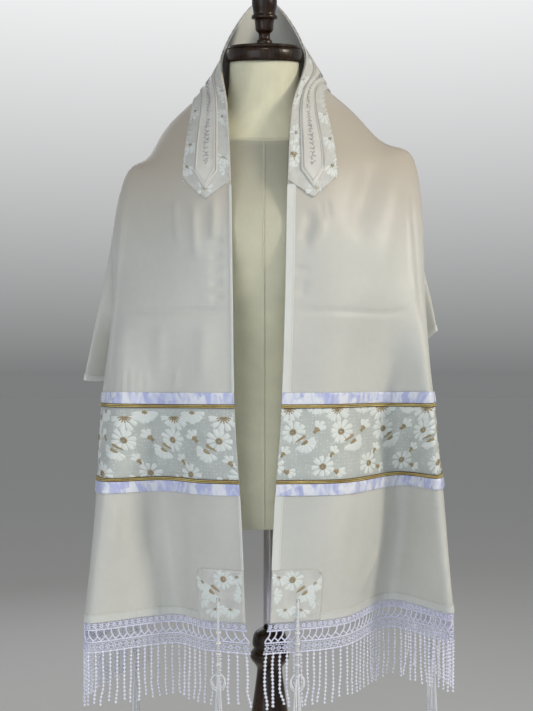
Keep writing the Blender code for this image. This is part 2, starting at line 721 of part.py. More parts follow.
def build_form(parent):
    """The dress form's body: a loft through its levels, closed flat at the neck and underneath."""
    mesh = bmesh.new()
    rings = [[mesh.verts.new(p) for p in form_ring(ring)] for ring in FORM_RINGS]
    mesh.faces.new(rings[0][::-1])
    for lower, upper in zip(rings, rings[1:]):
        for k in range(FORM_SEGMENTS):
            m = (k + 1) % FORM_SEGMENTS
            mesh.faces.new((lower[k], lower[m], upper[m], upper[k]))
    mesh.faces.new(rings[-1])
    data = bpy.data.meshes.new("dress_form")
    mesh.to_mesh(data)
    mesh.free()
    data.shade_smooth()
    return add_object("dress_form", data, "cream_linen", parent)


def turned(name, profile, colour, parent, steps, bottom=None):
    """A turned piece: its profile, closed onto the axis at both ends, with a Screw modifier."""
    outline = [(0.0, profile[0][1]), *profile, (0.0, profile[-1][1])]
    mesh = mesh_of(name, [(r, 0.0, z) for r, z in outline], [])
    mesh.edges.add(len(outline) - 1)
    for k, edge in enumerate(mesh.edges):
        edge.vertices = (k, k + 1)
    thing = add_object(name, mesh, colour, parent)
    screw = thing.modifiers.new("turn", "SCREW")
    screw.steps = steps
    screw.render_steps = steps
    screw.use_merge_vertices = True
    screw.merge_threshold = 0.00001
    screw.use_smooth_shade = True
    return thing


def build_stand(form):
    """The base, the column, the pole, and on the form its neck cap and finial."""
    turned("stand_base", BASE_PROFILE, "dark_wood", None, 32)
    turned("stand_column", COLUMN_PROFILE, "dark_wood", None, 18)
    low, high = COLUMN_TOP + SEAM_GAP, FORM_BOTTOM - SEAM_GAP
    turned("stand_pole", ((POLE_RADIUS, high), (POLE_RADIUS, low)), "steel", None, 16)
    tilt = Euler((NECK_TILT, 0, 0))
    axis = tilt.to_matrix() @ Vector((0, 0, 1))
    cap = turned("neck_cap", CAP_PROFILE, "dark_wood", form, 24)
    cap.location = Vector((0, 0, NECK_TOP)) + axis * SEAM_GAP
    cap.rotation_euler = tilt
    finial = turned("finial", FINIAL_PROFILE, "dark_wood", form, 16)
    finial.location = Vector((0, 0, NECK_TOP)) + axis * (CAP_HEIGHT + 2 * SEAM_GAP)
    finial.rotation_euler = tilt


clear_scene()
parts = bpy.data.collections.new("tallit_on_dress_form")
bpy.context.scene.collection.children.link(parts)


def main():
    form = bpy.data.objects.new("form_place", None)
    form.location = (FORM_SHIFT, 0, 0)
    parts.objects.link(form)
    build_form(form)
    build_stand(form)
    grid = ClothGrid()
    build_cloth(grid, form)
    build_ribbons(grid, form)
    build_neckband(grid, form)
    build_patches(grid, form)
    for side, sign in (("left", 1), ("right", -1)):
        build_lace(side, sign, form)
        build_fringe(side, sign, form)


main()
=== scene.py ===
"""Dressed scene of a tallit prayer shawl worn by a limbless dress form on a turned wooden stand.

Metres, +Z up, front towards -Y. A place on the shawl is two lengths of cloth: s runs along it from the centre back,
positive on the wearer's left, and w runs across it from the neck edge to the outer rim.
"""

import logging
import math
from dataclasses import dataclass, field
from enum import Enum
from typing import Any, Callable, Iterable, NamedTuple, Sequence

import bmesh
import bpy
import numpy as np
from mathutils import Euler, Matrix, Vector


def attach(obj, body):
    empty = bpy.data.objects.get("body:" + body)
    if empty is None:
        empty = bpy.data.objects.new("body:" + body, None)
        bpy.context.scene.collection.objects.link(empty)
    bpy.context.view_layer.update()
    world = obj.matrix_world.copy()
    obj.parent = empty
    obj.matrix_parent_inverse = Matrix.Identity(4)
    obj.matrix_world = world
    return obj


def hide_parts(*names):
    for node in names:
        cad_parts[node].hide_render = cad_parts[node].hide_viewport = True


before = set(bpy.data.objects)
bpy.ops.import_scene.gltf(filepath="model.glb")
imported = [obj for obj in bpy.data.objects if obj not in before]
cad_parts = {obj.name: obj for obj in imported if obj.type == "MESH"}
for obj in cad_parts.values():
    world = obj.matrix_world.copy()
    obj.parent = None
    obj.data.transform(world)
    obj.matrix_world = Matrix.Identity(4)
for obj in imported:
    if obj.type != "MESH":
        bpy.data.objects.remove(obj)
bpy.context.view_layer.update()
LOG = logging.getLogger("tallit")

Run = list[tuple[float, float, float]]

HALF_LENGTH = 0.960
CLOTH_WIDTH = 0.500
HEM_HEIGHT = 0.638
CLOTH_WALL = 0.0016
TRIM_WALL = 0.0010
SATIN_WIDTH = 0.016
GOLD_WIDTH = 0.0055
FLORAL_WIDTH = 0.098
BAND_TOP = 0.645
NECKBAND_WIDTH = 0.072
NECKBAND_SHOULDER = 0.366
NECKBAND_TIP = 0.391
STRIP_SHOULDER = 0.354
STRIP_TIP = 0.379
PATCH_SIDE = 0.072
LACE_HEIGHT = 0.043
FORM_SHIFT = -0.008
NECK_TOP = 1.445
NECK_TILT = math.radians(12)
CAP_HEIGHT = 0.0235
PHOTO_WIDTH, PHOTO_HEIGHT = 533, 711


class Side(Enum):
    """The wearer's side that an end of the shawl hangs on."""

    LEFT = 1
    RIGHT = -1

    @property
    def word(self) -> str:
        """The side's name in a node's name."""
        return self.name.lower()


class Section(NamedTuple):
    """One section across the cloth: where its neck edge, folds and rim lie, in metres."""

    s: float
    edge: tuple
    chest: tuple
    valley: tuple
    fold: tuple
    turn: tuple
    rim: tuple


def level(s: float, *places: tuple[float, float]) -> Section:
    """Makes a section that hangs level.

    Args:
        s: Its place along the cloth.
        places: The x and y of its edge, chest, valley, fold, turn and rim.

    Returns:
        The section, with its height from the hem.
    """
    height = HEM_HEIGHT + HALF_LENGTH - abs(s)
    return Section(s, *[(x, y, height) for x, y in places])


SECTIONS = (
    level(-0.960, (-0.025, -0.142), (-0.078, -0.122), (-0.130, -0.080), (-0.241, -0.138), (-0.236, -0.030),
          (-0.176, 0.085)),
    level(-0.800, (-0.032, -0.142), (-0.086, -0.124), (-0.146, -0.074), (-0.225, -0.114), (-0.235, -0.010),
          (-0.150, 0.130)),
    Section(-0.650, (-0.041, -0.142, 0.948), (-0.090, -0.133, 0.948), (-0.142, -0.110, 0.948),
            (-0.212, -0.094, 0.948), (-0.234, 0.010, 0.946), (-0.120, 0.150, 0.942)),
    Section(-0.500, (-0.043, -0.141, 1.098), (-0.090, -0.132, 1.098), (-0.146, -0.110, 1.098),
            (-0.209, -0.066, 1.103), (-0.222, -0.002, 1.050), (-0.188, 0.094, 0.965)),
    Section(-0.360, (-0.046, -0.124, 1.252), (-0.098, -0.108, 1.256), (-0.152, -0.066, 1.266),
            (-0.205, -0.006, 1.277), (-0.234, 0.006, 1.150), (-0.273, 0.020, 0.970)),
    Section(-0.240, (-0.052, -0.075, 1.360), (-0.102, -0.030, 1.372), (-0.155, 0.025, 1.340),
            (-0.182, 0.084, 1.240), (-0.196, 0.104, 1.130), (-0.204, 0.114, 0.980)),
    Section(-0.120, (-0.060, 0.000, 1.462), (-0.070, 0.030, 1.430), (-0.096, 0.080, 1.335),
            (-0.104, 0.112, 1.218), (-0.106, 0.124, 1.110), (-0.106, 0.130, 0.980)),
    Section(0.000, (0.000, 0.045, 1.557), (0.000, 0.060, 1.500), (0.000, 0.088, 1.390),
            (0.000, 0.114, 1.270), (0.000, 0.126, 1.165), (0.000, 0.132, 1.030)),
    Section(0.120, (0.060, 0.000, 1.462), (0.082, 0.030, 1.430), (0.098, 0.078, 1.340),
            (0.106, 0.110, 1.225), (0.108, 0.122, 1.118), (0.108, 0.128, 0.990)),
    Section(0.240, (0.039, -0.075, 1.360), (0.088, -0.030, 1.388), (0.148, 0.030, 1.362),
            (0.190, 0.082, 1.262), (0.200, 0.100, 1.150), (0.206, 0.108, 1.010)),
    Section(0.360, (0.033, -0.124, 1.252), (0.098, -0.108, 1.262), (0.162, -0.064, 1.282),
            (0.221, -0.010, 1.298), (0.236, 0.022, 1.175), (0.262, 0.026, 1.045)),
    Section(0.500, (0.030, -0.141, 1.098), (0.098, -0.128, 1.098), (0.172, -0.092, 1.098),
            (0.229, -0.050, 1.106), (0.233, 0.010, 1.060), (0.200, 0.088, 0.984)),
    Section(0.650, (0.025, -0.142, 0.948), (0.098, -0.124, 0.948), (0.184, -0.040, 0.948),
            (0.238, -0.072, 0.948), (0.240, 0.026, 0.948), (0.170, 0.132, 0.946)),
    level(0.800, (0.015, -0.142), (0.112, -0.122), (0.204, 0.006), (0.252, -0.064), (0.262, 0.044),
          (0.196, 0.120)),
    level(0.960, (0.008, -0.142), (0.108, -0.104), (0.190, 0.018), (0.266, -0.080), (0.264, 0.010),
          (0.222, 0.090)),
)


class SoftFold(NamedTuple):
    """A fold of the back: its place, half width, depth and first width of cloth."""

    s: float
    half_width: float
    depth: float
    start: float


SOFT_FOLDS = (
    SoftFold(-0.215, 0.036, 0.020, 0.16),
    SoftFold(-0.150, 0.030, -0.012, 0.14),
    SoftFold(-0.085, 0.034, 0.020, 0.12),
    SoftFold(-0.020, 0.030, -0.010, 0.16),
    SoftFold(0.050, 0.036, 0.018, 0.12),
    SoftFold(0.120, 0.030, -0.010, 0.14),
    SoftFold(0.185, 0.034, 0.022, 0.14),
    SoftFold(0.250, 0.030, -0.010, 0.18),
)


class Crease(NamedTuple):
    """A listed crease: its line over the cloth as (s, w) places, half width, and depth, a ridge where positive."""

    line: tuple[tuple[float, float], ...]
    half_width: float
    depth: float
    ease: float = 0.35


CREASES = (
    Crease(((0.532, 0.008), (0.531, 0.080), (0.530, 0.200)), 0.0036, -0.0021, 0.15),
    Crease(((-0.532, 0.006), (-0.531, 0.080), (-0.533, 0.170)), 0.0036, -0.0030, 0.15),
    Crease(((0.478, 0.010), (0.478, 0.034)), 0.0036, -0.0027, 0.30),
    Crease(((-0.385, 0.198), (-0.450, 0.190), (-0.515, 0.190), (-0.583, 0.203), (-0.645, 0.205)), 0.0070,
           0.0032, 0.2),
    Crease(((-0.607, 0.078), (-0.645, 0.088)), 0.0030, 0.0024, 0.4),
    Crease(((-0.540, 0.165), (-0.640, 0.165)), 0.011, 0.0024),
    Crease(((-0.540, 0.105), (-0.640, 0.110)), 0.010, 0.0020),
    Crease(((-0.538, 0.035), (-0.640, 0.045)), 0.013, 0.0034),
    Crease(((-0.385, 0.088), (-0.460, 0.075)), 0.0060, 0.0030),
    Crease(((-0.392, 0.055), (-0.470, 0.050)), 0.0058, 0.0036),
    Crease(((-0.380, 0.024), (-0.455, 0.026)), 0.0055, 0.0034),
    Crease(((0.410, 0.215), (0.463, 0.217), (0.552, 0.217)), 0.0045, -0.0026, 0.2),
    Crease(((0.425, 0.205), (0.473, 0.202), (0.525, 0.204)), 0.0040, 0.0020, 0.2),
    Crease(((0.393, 0.047), (0.424, 0.052)), 0.0024, -0.0024),
    Crease(((0.391, 0.055), (0.420, 0.061)), 0.0024, -0.0020),
    Crease(((0.400, 0.034), (0.425, 0.030), (0.452, 0.020)), 0.008, -0.0047),
    Crease(((0.405, 0.052), (0.435, 0.046), (0.462, 0.030)), 0.007, 0.0032),
    Crease(((0.488, 0.030), (0.515, 0.018)), 0.0060, -0.0030),
    Crease(((0.368, 0.195), (0.420, 0.165), (0.490, 0.118)), 0.026, 0.0050),
    Crease(((0.345, 0.150), (0.400, 0.118), (0.440, 0.085)), 0.022, -0.0050),
    Crease(((0.775, 0.243), (0.825, 0.260), (0.868, 0.265)), 0.0045, -0.0022),
    Crease(((0.940, 0.138), (0.902, 0.185), (0.860, 0.215)), 0.011, 0.0030),
    Crease(((0.800, 0.120), (0.900, 0.130)), 0.016, -0.0022),
    Crease(((-0.790, 0.212), (-0.885, 0.222)), 0.008, 0.0026),
    Crease(((-0.795, 0.150), (-0.890, 0.160)), 0.012, -0.0024),
    Crease(((-0.800, 0.085), (-0.910, 0.078)), 0.014, 0.0024),
    *[Crease(((-0.606, w - 0.002), (-0.660, w)), 0.0030, 0.0020, 0.45) for w in (0.128, 0.140, 0.150, 0.163,
                                                                                 0.174)],
    *[Crease(((-0.922, 0.045 + 0.0102 * k), (-0.975, 0.046 + 0.0102 * k)), 0.0030,
             0.0011 + 0.0003 * (k % 3), 0.5)
      for k in range(16)],
    *[Crease(((-s, 0.011), (-s - 0.006, 0.032)), 0.0043, -0.0026, 0.3) for s in (0.440, 0.458, 0.475, 0.492,
                                                                                 0.510)],
)


class Ring(NamedTuple):
    """One level of the dress form: its height, half width, depth in front, depth behind and forward tilt."""

    height: float
    half_width: float
    front: float
    back: float
    tilt: float = 0.0


FORM_RINGS = (
    Ring(0.760, 0.160, 0.104, 0.108),
    Ring(0.772, 0.164, 0.107, 0.112),
    Ring(0.815, 0.166, 0.110, 0.116),
    Ring(0.870, 0.160, 0.106, 0.110),
    Ring(0.930, 0.139, 0.096, 0.094),
    Ring(0.985, 0.122, 0.089, 0.080),
    Ring(1.040, 0.126, 0.096, 0.082),
    Ring(1.100, 0.140, 0.120, 0.090),
    Ring(1.150, 0.151, 0.134, 0.096),
    Ring(1.190, 0.162, 0.1352, 0.100),
    Ring(1.225, 0.176, 0.122, 0.102),
    Ring(1.252, 0.184, 0.107, 0.102),
    Ring(1.276, 0.184, 0.094, 0.099),
    Ring(1.295, 0.170, 0.082, 0.093),
    Ring(1.311, 0.142, 0.072, 0.087),
    Ring(1.331, 0.112, 0.064, 0.079),
    Ring(1.352, 0.083, 0.059, 0.070),
    Ring(1.372, 0.064, 0.055, 0.063, 0.25),
    Ring(1.400, 0.0555, 0.0525, 0.0555, 0.6),
    Ring(NECK_TOP, 0.0530, 0.0515, 0.0515, 1.0),
)
FORM_SQUARENESS = 2.15
FORM_UNDERCUT = 0.0013

CAP_PROFILE = ((0.0522, 0.0235), (0.0542, 0.0220), (0.0540, 0.0196), (0.0528, 0.0186), (0.0560, 0.0168),
               (0.0572, 0.0110), (0.0568, 0.0030), (0.0550, 0.0))
FINIAL_PROFILE = ((0.0045, 0.1040), (0.0090, 0.1015), (0.0118, 0.0950), (0.0112, 0.0880), (0.0080, 0.0830),
                  (0.0128, 0.0790), (0.0180, 0.0690), (0.0187, 0.0580), (0.0166, 0.0455), (0.0192, 0.0430),
                  (0.0190, 0.0390), (0.0146, 0.0370), (0.0129, 0.0225), (0.0090, 0.0180), (0.0086, 0.0110),
                  (0.0115, 0.0070), (0.0118, 0.0))
COLUMN_PROFILE = ((0.0130, 0.5980), (0.0225, 0.5910), (0.0256, 0.5800), (0.0256, 0.5720), (0.0232, 0.5690),
                  (0.0286, 0.5610), (0.0284, 0.5530), (0.0205, 0.5420), (0.0190, 0.5340), (0.0236, 0.4980),
                  (0.0300, 0.4500), (0.0325, 0.3900), (0.0280, 0.3000), (0.0205, 0.2100), (0.0190, 0.1750),
                  (0.0275, 0.1660), (0.0275, 0.1540), (0.0205, 0.1450), (0.0250, 0.0900), (0.0420, 0.0303))
BASE_PROFILE = ((0.1180, 0.0300), (0.1250, 0.0270), (0.1290, 0.0225), (0.1500, 0.0195), (0.1590, 0.0140),
                (0.1600, 0.0070), (0.1570, 0.0))
POLE_PROFILE = ((0.0095, 0.7597), (0.0095, 0.5983))


def through(knots: Sequence[float], values: np.ndarray, x: np.ndarray) -> np.ndarray:
    """Reads a smooth curve through values at rising knots, with straight ends.

    Args:
        knots: The rising places of the values.
        values: One value, or array of values, per knot.
        x: The places to read it at.

    Returns:
        The values at x, one row each.
    """
    knots, values, x = np.asarray(knots, float), np.asarray(values,
                                                            float), np.atleast_1d(np.asarray(x, float))
    last = len(knots) - 1
    before = np.maximum(np.arange(last + 1) - 1, 0)
    after = np.minimum(np.arange(last + 1) + 1, last)
    tail = (1,) * (values.ndim - 1)
    slopes = (values[after] - values[before]) / (knots[after] - knots[before]).reshape(-1, *tail)
    i = np.clip(np.searchsorted(knots, x, side="right") - 1, 0, last - 1)
    span = (knots[i + 1] - knots[i]).reshape(-1, *tail)
    t = (x - knots[i]).reshape(-1, *tail) / span
    inner = (
        (2 * t**3 - 3 * t**2 + 1) * values[i]
        + (t**3 - 2 * t**2 + t) * span * slopes[i]
        + (3 * t**2 - 2 * t**3) * values[i + 1]
        + (t**3 - t**2) * span * slopes[i + 1]
    )
    low = values[i] + slopes[i] * t * span
    high = values[i + 1] + slopes[i + 1] * (t - 1) * span
    return np.where(t < 0, low, np.where(t > 1, high, inner))


def smooth(x: np.ndarray) -> np.ndarray:
    """A smooth step from 0 at 0 to 1 at 1."""
    x = np.clip(x, 0.0, 1.0)
    return x * x * (3 - 2 * x)


def unit(vectors: np.ndarray) -> np.ndarray:
    """The same vectors at length 1."""
    return vectors / np.maximum(np.linalg.norm(vectors, axis=-1, keepdims=True), 1e-12)


def spaced(start: float, end: float, step: float, edge: float = 0.0) -> np.ndarray:
    """Evenly spaced places with one more close to each end, so that an edge keeps its own shading.

    Args:
        start: First place.
        end: Last place.
        step: The spacing aimed at.
        edge: How close to each end the extra place lies; none where 0.

    Returns:
        The places from start to end.
    """
    count = max(2, int(round(abs(end - start) / step)) + 1)
    places = np.linspace(start, end, count)
    if edge:
        turn = math.copysign(edge, end - start)
        places = np.concatenate([[start, start + turn], places[1:-1], [end - turn, end]])
    return places


@dataclass
class Drape:
    """The cloth's middle surface as a fine table of points, on which every piece of the shawl is laid.

    Attributes:
        step: Spacing of the table, in metres of cloth.
        below: How far the table goes on below each hem, for the lace, fringe and tassels.
    """

    step: float = 0.0020
    below: float = 0.2700
    places: np.ndarray = field(init=False)
    widths: np.ndarray = field(init=False)
    points: np.ndarray = field(init=False)
    normals: np.ndarray = field(init=False)

    def __post_init__(self) -> None:
        """Fills the table from the sections, the soft folds and the creases."""
        reach = HALF_LENGTH + self.below
        self.places = np.linspace(-reach, reach, int(round(2 * reach / self.step)) + 1)
        self.widths = np.linspace(0.0, CLOTH_WIDTH, int(round(CLOTH_WIDTH / self.step)) + 1)
        plain = self._plain()
        out = self._outward(plain)
        s, w = np.meshgrid(np.clip(self.places, -HALF_LENGTH, HALF_LENGTH), self.widths, indexing="ij")
        depth = self._folds(s, w) + self._creases(s, w) + self._ripple(s, w)
        self.points = plain + out * depth[..., None]
        self.normals = self._outward(self.points)

    def _plain(self) -> np.ndarray:
        """The surface through the sections alone."""
        inside = np.clip(self.places, -HALF_LENGTH, HALF_LENGTH)
        guides = through([row.s for row in SECTIONS], np.array([[*row[1:]] for row in SECTIONS]), inside)
        found = np.empty((len(self.places), len(self.widths), 3))
        for i, guide in enumerate(guides):
            knots = np.concatenate([[0.0],
                                    np.cumsum(np.sqrt(np.linalg.norm(np.diff(guide, axis=0), axis=1)))])
            parts = [np.linspace(a, b, 16, endpoint=False) for a, b in zip(knots, knots[1:])]
            line = through(knots, guide, np.concatenate([*parts, [knots[-1]]]))
            reach = np.concatenate([[0.0], np.cumsum(np.linalg.norm(np.diff(line, axis=0), axis=1))])
            fold = reach[48]
            eased = fold + (self.widths - fold) * (reach[-1] - fold) / (CLOTH_WIDTH - fold)
            eased = np.where(self.widths > fold, eased, self.widths)
            for axis in range(3):
                found[i, :, axis] = np.interp(eased, reach, line[:, axis])
        found[..., 2] -= (np.abs(self.places) - np.abs(inside))[:, None]
        found[..., 0] += FORM_SHIFT
        return found

    @staticmethod
    def _outward(points: np.ndarray) -> np.ndarray:
        """The outer direction at every point of the table."""
        return unit(np.cross(np.gradient(points, axis=0), np.gradient(points, axis=1)))

    @staticmethod
    def _folds(s: np.ndarray, w: np.ndarray) -> np.ndarray:
        """The depth of the soft folds of the back."""
        return sum(
            fold.depth * np.exp(-(((s - fold.s) / fold.half_width) ** 2)) * smooth((w - fold.start) / (CLOTH_WIDTH - fold.start))
            for fold in SOFT_FOLDS
        )

    @staticmethod
    def _creases(s: np.ndarray, w: np.ndarray) -> np.ndarray:
        """The depth of the listed creases, which fade at both ends."""
        depth = np.zeros_like(s)
        for crease in CREASES:
            line = np.array(crease.line)
            lengths = np.linalg.norm(np.diff(line, axis=0), axis=1)
            total, gone = lengths.sum(), 0.0
            nearest, share = np.full_like(s, 1e9), np.zeros_like(s)
            for (a, b), length in zip(zip(line, line[1:]), lengths):
                t = np.clip(((s - a[0]) * (b[0] - a[0]) + (w - a[1]) * (b[1] - a[1])) / length**2, 0, 1)
                far = np.hypot(s - a[0] - t * (b[0] - a[0]), w - a[1] - t * (b[1] - a[1]))
                closer = far < nearest
                nearest = np.where(closer, far, nearest)
                share = np.where(closer, (gone + t * length) / total, share)
                gone += length
            fade = smooth(share / crease.ease) * smooth((1 - share) / crease.ease)
            depth += crease.depth * np.exp(-((nearest / crease.half_width) ** 2)) * fade
        return depth

    @staticmethod
    def _ripple(s: np.ndarray, w: np.ndarray) -> np.ndarray:
        """A slight unevenness of the whole cloth, longer along its hang than across it."""
        dice = np.random.default_rng(7)
        found = np.zeros_like(s)
        for _ in range(14):
            across, along = dice.uniform(18, 70), dice.uniform(4, 26)
            found += math.sqrt(30 / across) * np.sin(w * across + s * along * dice.choice([-1,
                                                                                           1]) + dice.uniform(0, 6.28))
        return found * 0.00022

    def lay(self, s: np.ndarray, w: np.ndarray, lift: Any) -> np.ndarray:
        """Finds points on the cloth.

        Args:
            s: Places along the cloth.
            w: Places across it, which may run a little past an edge.
            lift: Height over the middle of the cloth, one value or one per point.

        Returns:
            The points, in the row frame.
        """
        s, w = np.asarray(s, float), np.asarray(w, float)
        i, j = (s - self.places[0]) / self.step, w / self.step
        low_i = np.clip(np.floor(i).astype(int), 0, len(self.places) - 2)
        low_j = np.clip(np.floor(j).astype(int), 0, len(self.widths) - 2)
        a, b = (i - low_i)[..., None], (j - low_j)[..., None]

        def read(table: np.ndarray) -> np.ndarray:
            """Reads a table between its four nearest entries."""
            upper = table[low_i, low_j] * (1 - b) + table[low_i, low_j + 1] * b
            lower = table[low_i + 1, low_j] * (1 - b) + table[low_i + 1, low_j + 1] * b
            return upper * (1 - a) + lower * a

        return read(self.points) + unit(read(self.normals)) * np.asarray(lift, float)[..., None]

    def dress(self, mesh: bpy.types.Mesh, side: Side) -> bpy.types.Mesh:
        """Lays a flat mesh on one end of the shawl.

        Args:
            mesh: Its x is w, its y the distance from the centre back, and its z the height over the cloth.
            side: The end it is laid on.

        Returns:
            The same mesh, in place and facing outwards.
        """
        flat = np.empty(len(mesh.vertices) * 3)
        mesh.vertices.foreach_get("co", flat)
        flat = flat.reshape(-1, 3)
        laid = self.lay(side.value * flat[:, 1], flat[:, 0], flat[:, 2])
        mesh.vertices.foreach_set("co", laid.ravel())
        if side is Side.LEFT:
            mesh.flip_normals()
        mesh.update()
        return mesh


def sheet_mesh(name: str, top: np.ndarray, under: np.ndarray, uv: np.ndarray,
               flip: bool = False) -> bpy.types.Mesh:
    """Builds a sheet with a wall from its two faces.

    Args:
        name: The mesh's name.
        top: Rows and columns of points of the outer face.
        under: The same for the inner face.
        uv: Rows and columns of the place on the cloth, for patterns.
        flip: Turns the faces round.

    Returns:
        A closed mesh with a UV map named cloth.
    """
    rows, columns = top.shape[:2]
    number = np.arange(rows * columns).reshape(rows, columns)
    below = number + rows * columns

    def quads(grid: np.ndarray) -> np.ndarray:
        """Four corners for each cell of a grid of numbers."""
        return np.stack([grid[:-1, :-1], grid[1:, :-1], grid[1:, 1:], grid[:-1, 1:]], axis=-1).reshape(-1, 4)

    def rim(a: np.ndarray, b: np.ndarray) -> np.ndarray:
        """Quads between a line of outer points and the inner ones under it."""
        return np.stack([a[:-1], a[1:], b[1:], b[:-1]], axis=-1)

    faces = np.concatenate([
        quads(number),
        quads(below)[:, ::-1],
        rim(number[:, 0], below[:, 0])[:, ::-1],
        rim(number[:, -1], below[:, -1]),
        rim(number[0], below[0]),
        rim(number[-1], below[-1])[:, ::-1],
    ])
    if flip:
        faces = faces[:, ::-1]
    mesh = bpy.data.meshes.new(name)
    mesh.from_pydata(np.concatenate([top.reshape(-1, 3), under.reshape(-1, 3)]).tolist(), [], faces.tolist())
    place = np.concatenate([uv.reshape(-1, 2), uv.reshape(-1, 2)])
    corners = np.empty(len(mesh.loops), int)
    mesh.loops.foreach_get("vertex_index", corners)
    mesh.uv_layers.new(name="cloth").data.foreach_set("uv", place[corners].ravel())
    mesh.shade_smooth()
    return mesh


@dataclass
class FlatWork:
    """Flat needlework gathered for one finish, in cloth places, before it is laid on the drape."""

    points: list = field(default_factory=list)
    faces: list = field(default_factory=list)
    places: list = field(default_factory=list)

    def petal(self, centre: tuple[float, float], angle: float, inner: float, length: float, width: float,
              lift: float, rise: float, cleft: float = 0.15, notch: float = 0.10) -> None:
        """Adds one padded petal.

        Args:
            centre: The flower's middle, as (w, distance from the centre back).
            angle: Direction of the petal, from w towards the hem.
            inner: Where the petal starts, from the flower's middle.
            length: Its length.
            width: Its greatest width.
            lift: Height of the ground it is worked on.
            rise: How far it stands proud of the ground.
            cleft: Depth of the crease along its middle, as a share of the rise.
            notch: Depth of the dip in its tip, as a share of the length.
        """
        start = len(self.points)
        cosine, sine = math.cos(angle), math.sin(angle)
        across = (-1.0, -0.72, -0.3, 0.0, 0.3, 0.72, 1.0)
        along = (0.0, 0.25, 0.55, 0.8, 0.94, 1.0)
        widths = (0.30, 0.62, 0.95, 1.0, 0.84, 0.55)
        for t, swell in zip(along, widths):
            for u in across:
                x = inner + length * (t - (notch * max(0.0, 1 - abs(u) / 0.45) if t == 1.0 else 0.0))
                y = width / 2 * swell * u
                dome = (1 - u * u) ** 0.6 * (1 - 0.75 * t**6) * (0.55 + 0.45 * smooth(np.array(t * 3.0)))
                z = lift + rise * (float(dome) - cleft * math.exp(-((u / 0.22) ** 2)))
                if abs(u) == 1.0 or t == 1.0:
                    z = lift - 0.0002
                self.points.append((centre[0] + x * cosine - y * sine, centre[1] + x * sine + y * cosine, z))
                self.places.append((y, x))
        count = len(across)
        for i in range(len(along) - 1):
            for j in range(count - 1):
                a = start + i * count + j
                self.faces.append((a, a + count, a + count + 1, a + 1))

    def clipped(self, w: tuple[float, float], d: tuple[float, float]) -> "FlatWork":
        """Keeps only the faces whose middle lies between two widths and two distances."""
        kept = FlatWork(self.points, [], self.places)
        table = np.array(self.points)
        for face in self.faces:
            x, y = table[list(face), 0].mean(), table[list(face), 1].mean()
            if w[0] <= x <= w[1] and d[0] <= y <= d[1]:
                kept.faces.append(face)
        return kept

    def mesh(self, name: str) -> bpy.types.Mesh:
        """Makes the gathered faces a mesh that faces up, without loose points."""
        used = sorted({v for face in self.faces for v in face})
        number = {v: n for n, v in enumerate(used)}
        made = bpy.data.meshes.new(name)
        made.from_pydata([self.points[v] for v in used], [],
                         [[number[v] for v in face] for face in self.faces])
        made.uv_layers.new(name="cloth")
        for loop, place in zip(made.loops, made.uv_layers["cloth"].data):
            place.uv = self.places[used[loop.vertex_index]]
        made.shade_smooth()
        return made


class Bench:
    """Adds nodes to one tree and joins them."""

    def __init__(self, tree: bpy.types.NodeTree) -> None:
        """Takes the tree to work on."""
        self.tree = tree

    def add(self, kind: str, inputs: dict | None = None, **settings: Any) -> bpy.types.Node:
        """Adds a node.

        Args:
            kind: Blender's name of the node.
            inputs: A value, or a socket to join, for each named or numbered input.
            settings: The node's own settings.

        Returns:
            The node.
        """
        made = self.tree.nodes.new(kind)
        for name, value in settings.items():
            setattr(made, name, value)
        for key, value in (inputs or {}).items():
            if isinstance(value, bpy.types.NodeSocket):
                self.tree.links.new(value, made.inputs[key])
            else:
                made.inputs[key].default_value = value
        return made

    def math(self, operation: str, a: Any, b: Any = 0.0) -> bpy.types.NodeSocket:
        """The result of one sum on two values or sockets."""
        return self.add("ShaderNodeMath", {0: a, 1: b}, operation=operation).outputs[0]

    def mix(self, factor: Any, a: Any, b: Any) -> bpy.types.NodeSocket:
        """A colour between a and b."""
        return self.add("ShaderNodeMix", {"Factor": factor, 6: a, 7: b}, data_type="RGBA").outputs[2]

    def ramp(self, factor: Any, low: float, high: float) -> bpy.types.NodeSocket:
        """A value stretched from between low and high to between 0 and 1."""
        return self.add("ShaderNodeMapRange", {"Value": factor, "From Min": low, "From Max": high}).outputs[0]


def shade_group(name: str, sockets: Sequence[tuple[str, str, Any]], outputs: Sequence[tuple[str, str]],
                fill: Callable[[Bench, bpy.types.Node, bpy.types.Node], None]) -> bpy.types.NodeTree:
    """Makes a shader node group once.

    Args:
        name: The effect's name.
        sockets: Name, kind and first value of each input.
        outputs: Name and kind of each output.
        fill: Adds the nodes between the group's input and output.

    Returns:
        The group.
    """
    if name in bpy.data.node_groups:
        return bpy.data.node_groups[name]
    tree = bpy.data.node_groups.new(name, "ShaderNodeTree")
    for label, kind, value in sockets:
        socket = tree.interface.new_socket(label, in_out="INPUT", socket_type=kind)
        if value is not None:
            socket.default_value = value
    for label, kind in outputs:
        tree.interface.new_socket(label, in_out="OUTPUT", socket_type=kind)
    bench = Bench(tree)
    fill(bench, bench.add("NodeGroupInput"), bench.add("NodeGroupOutput"))
    return tree


VECTOR, FLOAT, COLOUR = "NodeSocketVector", "NodeSocketFloat", "NodeSocketColor"


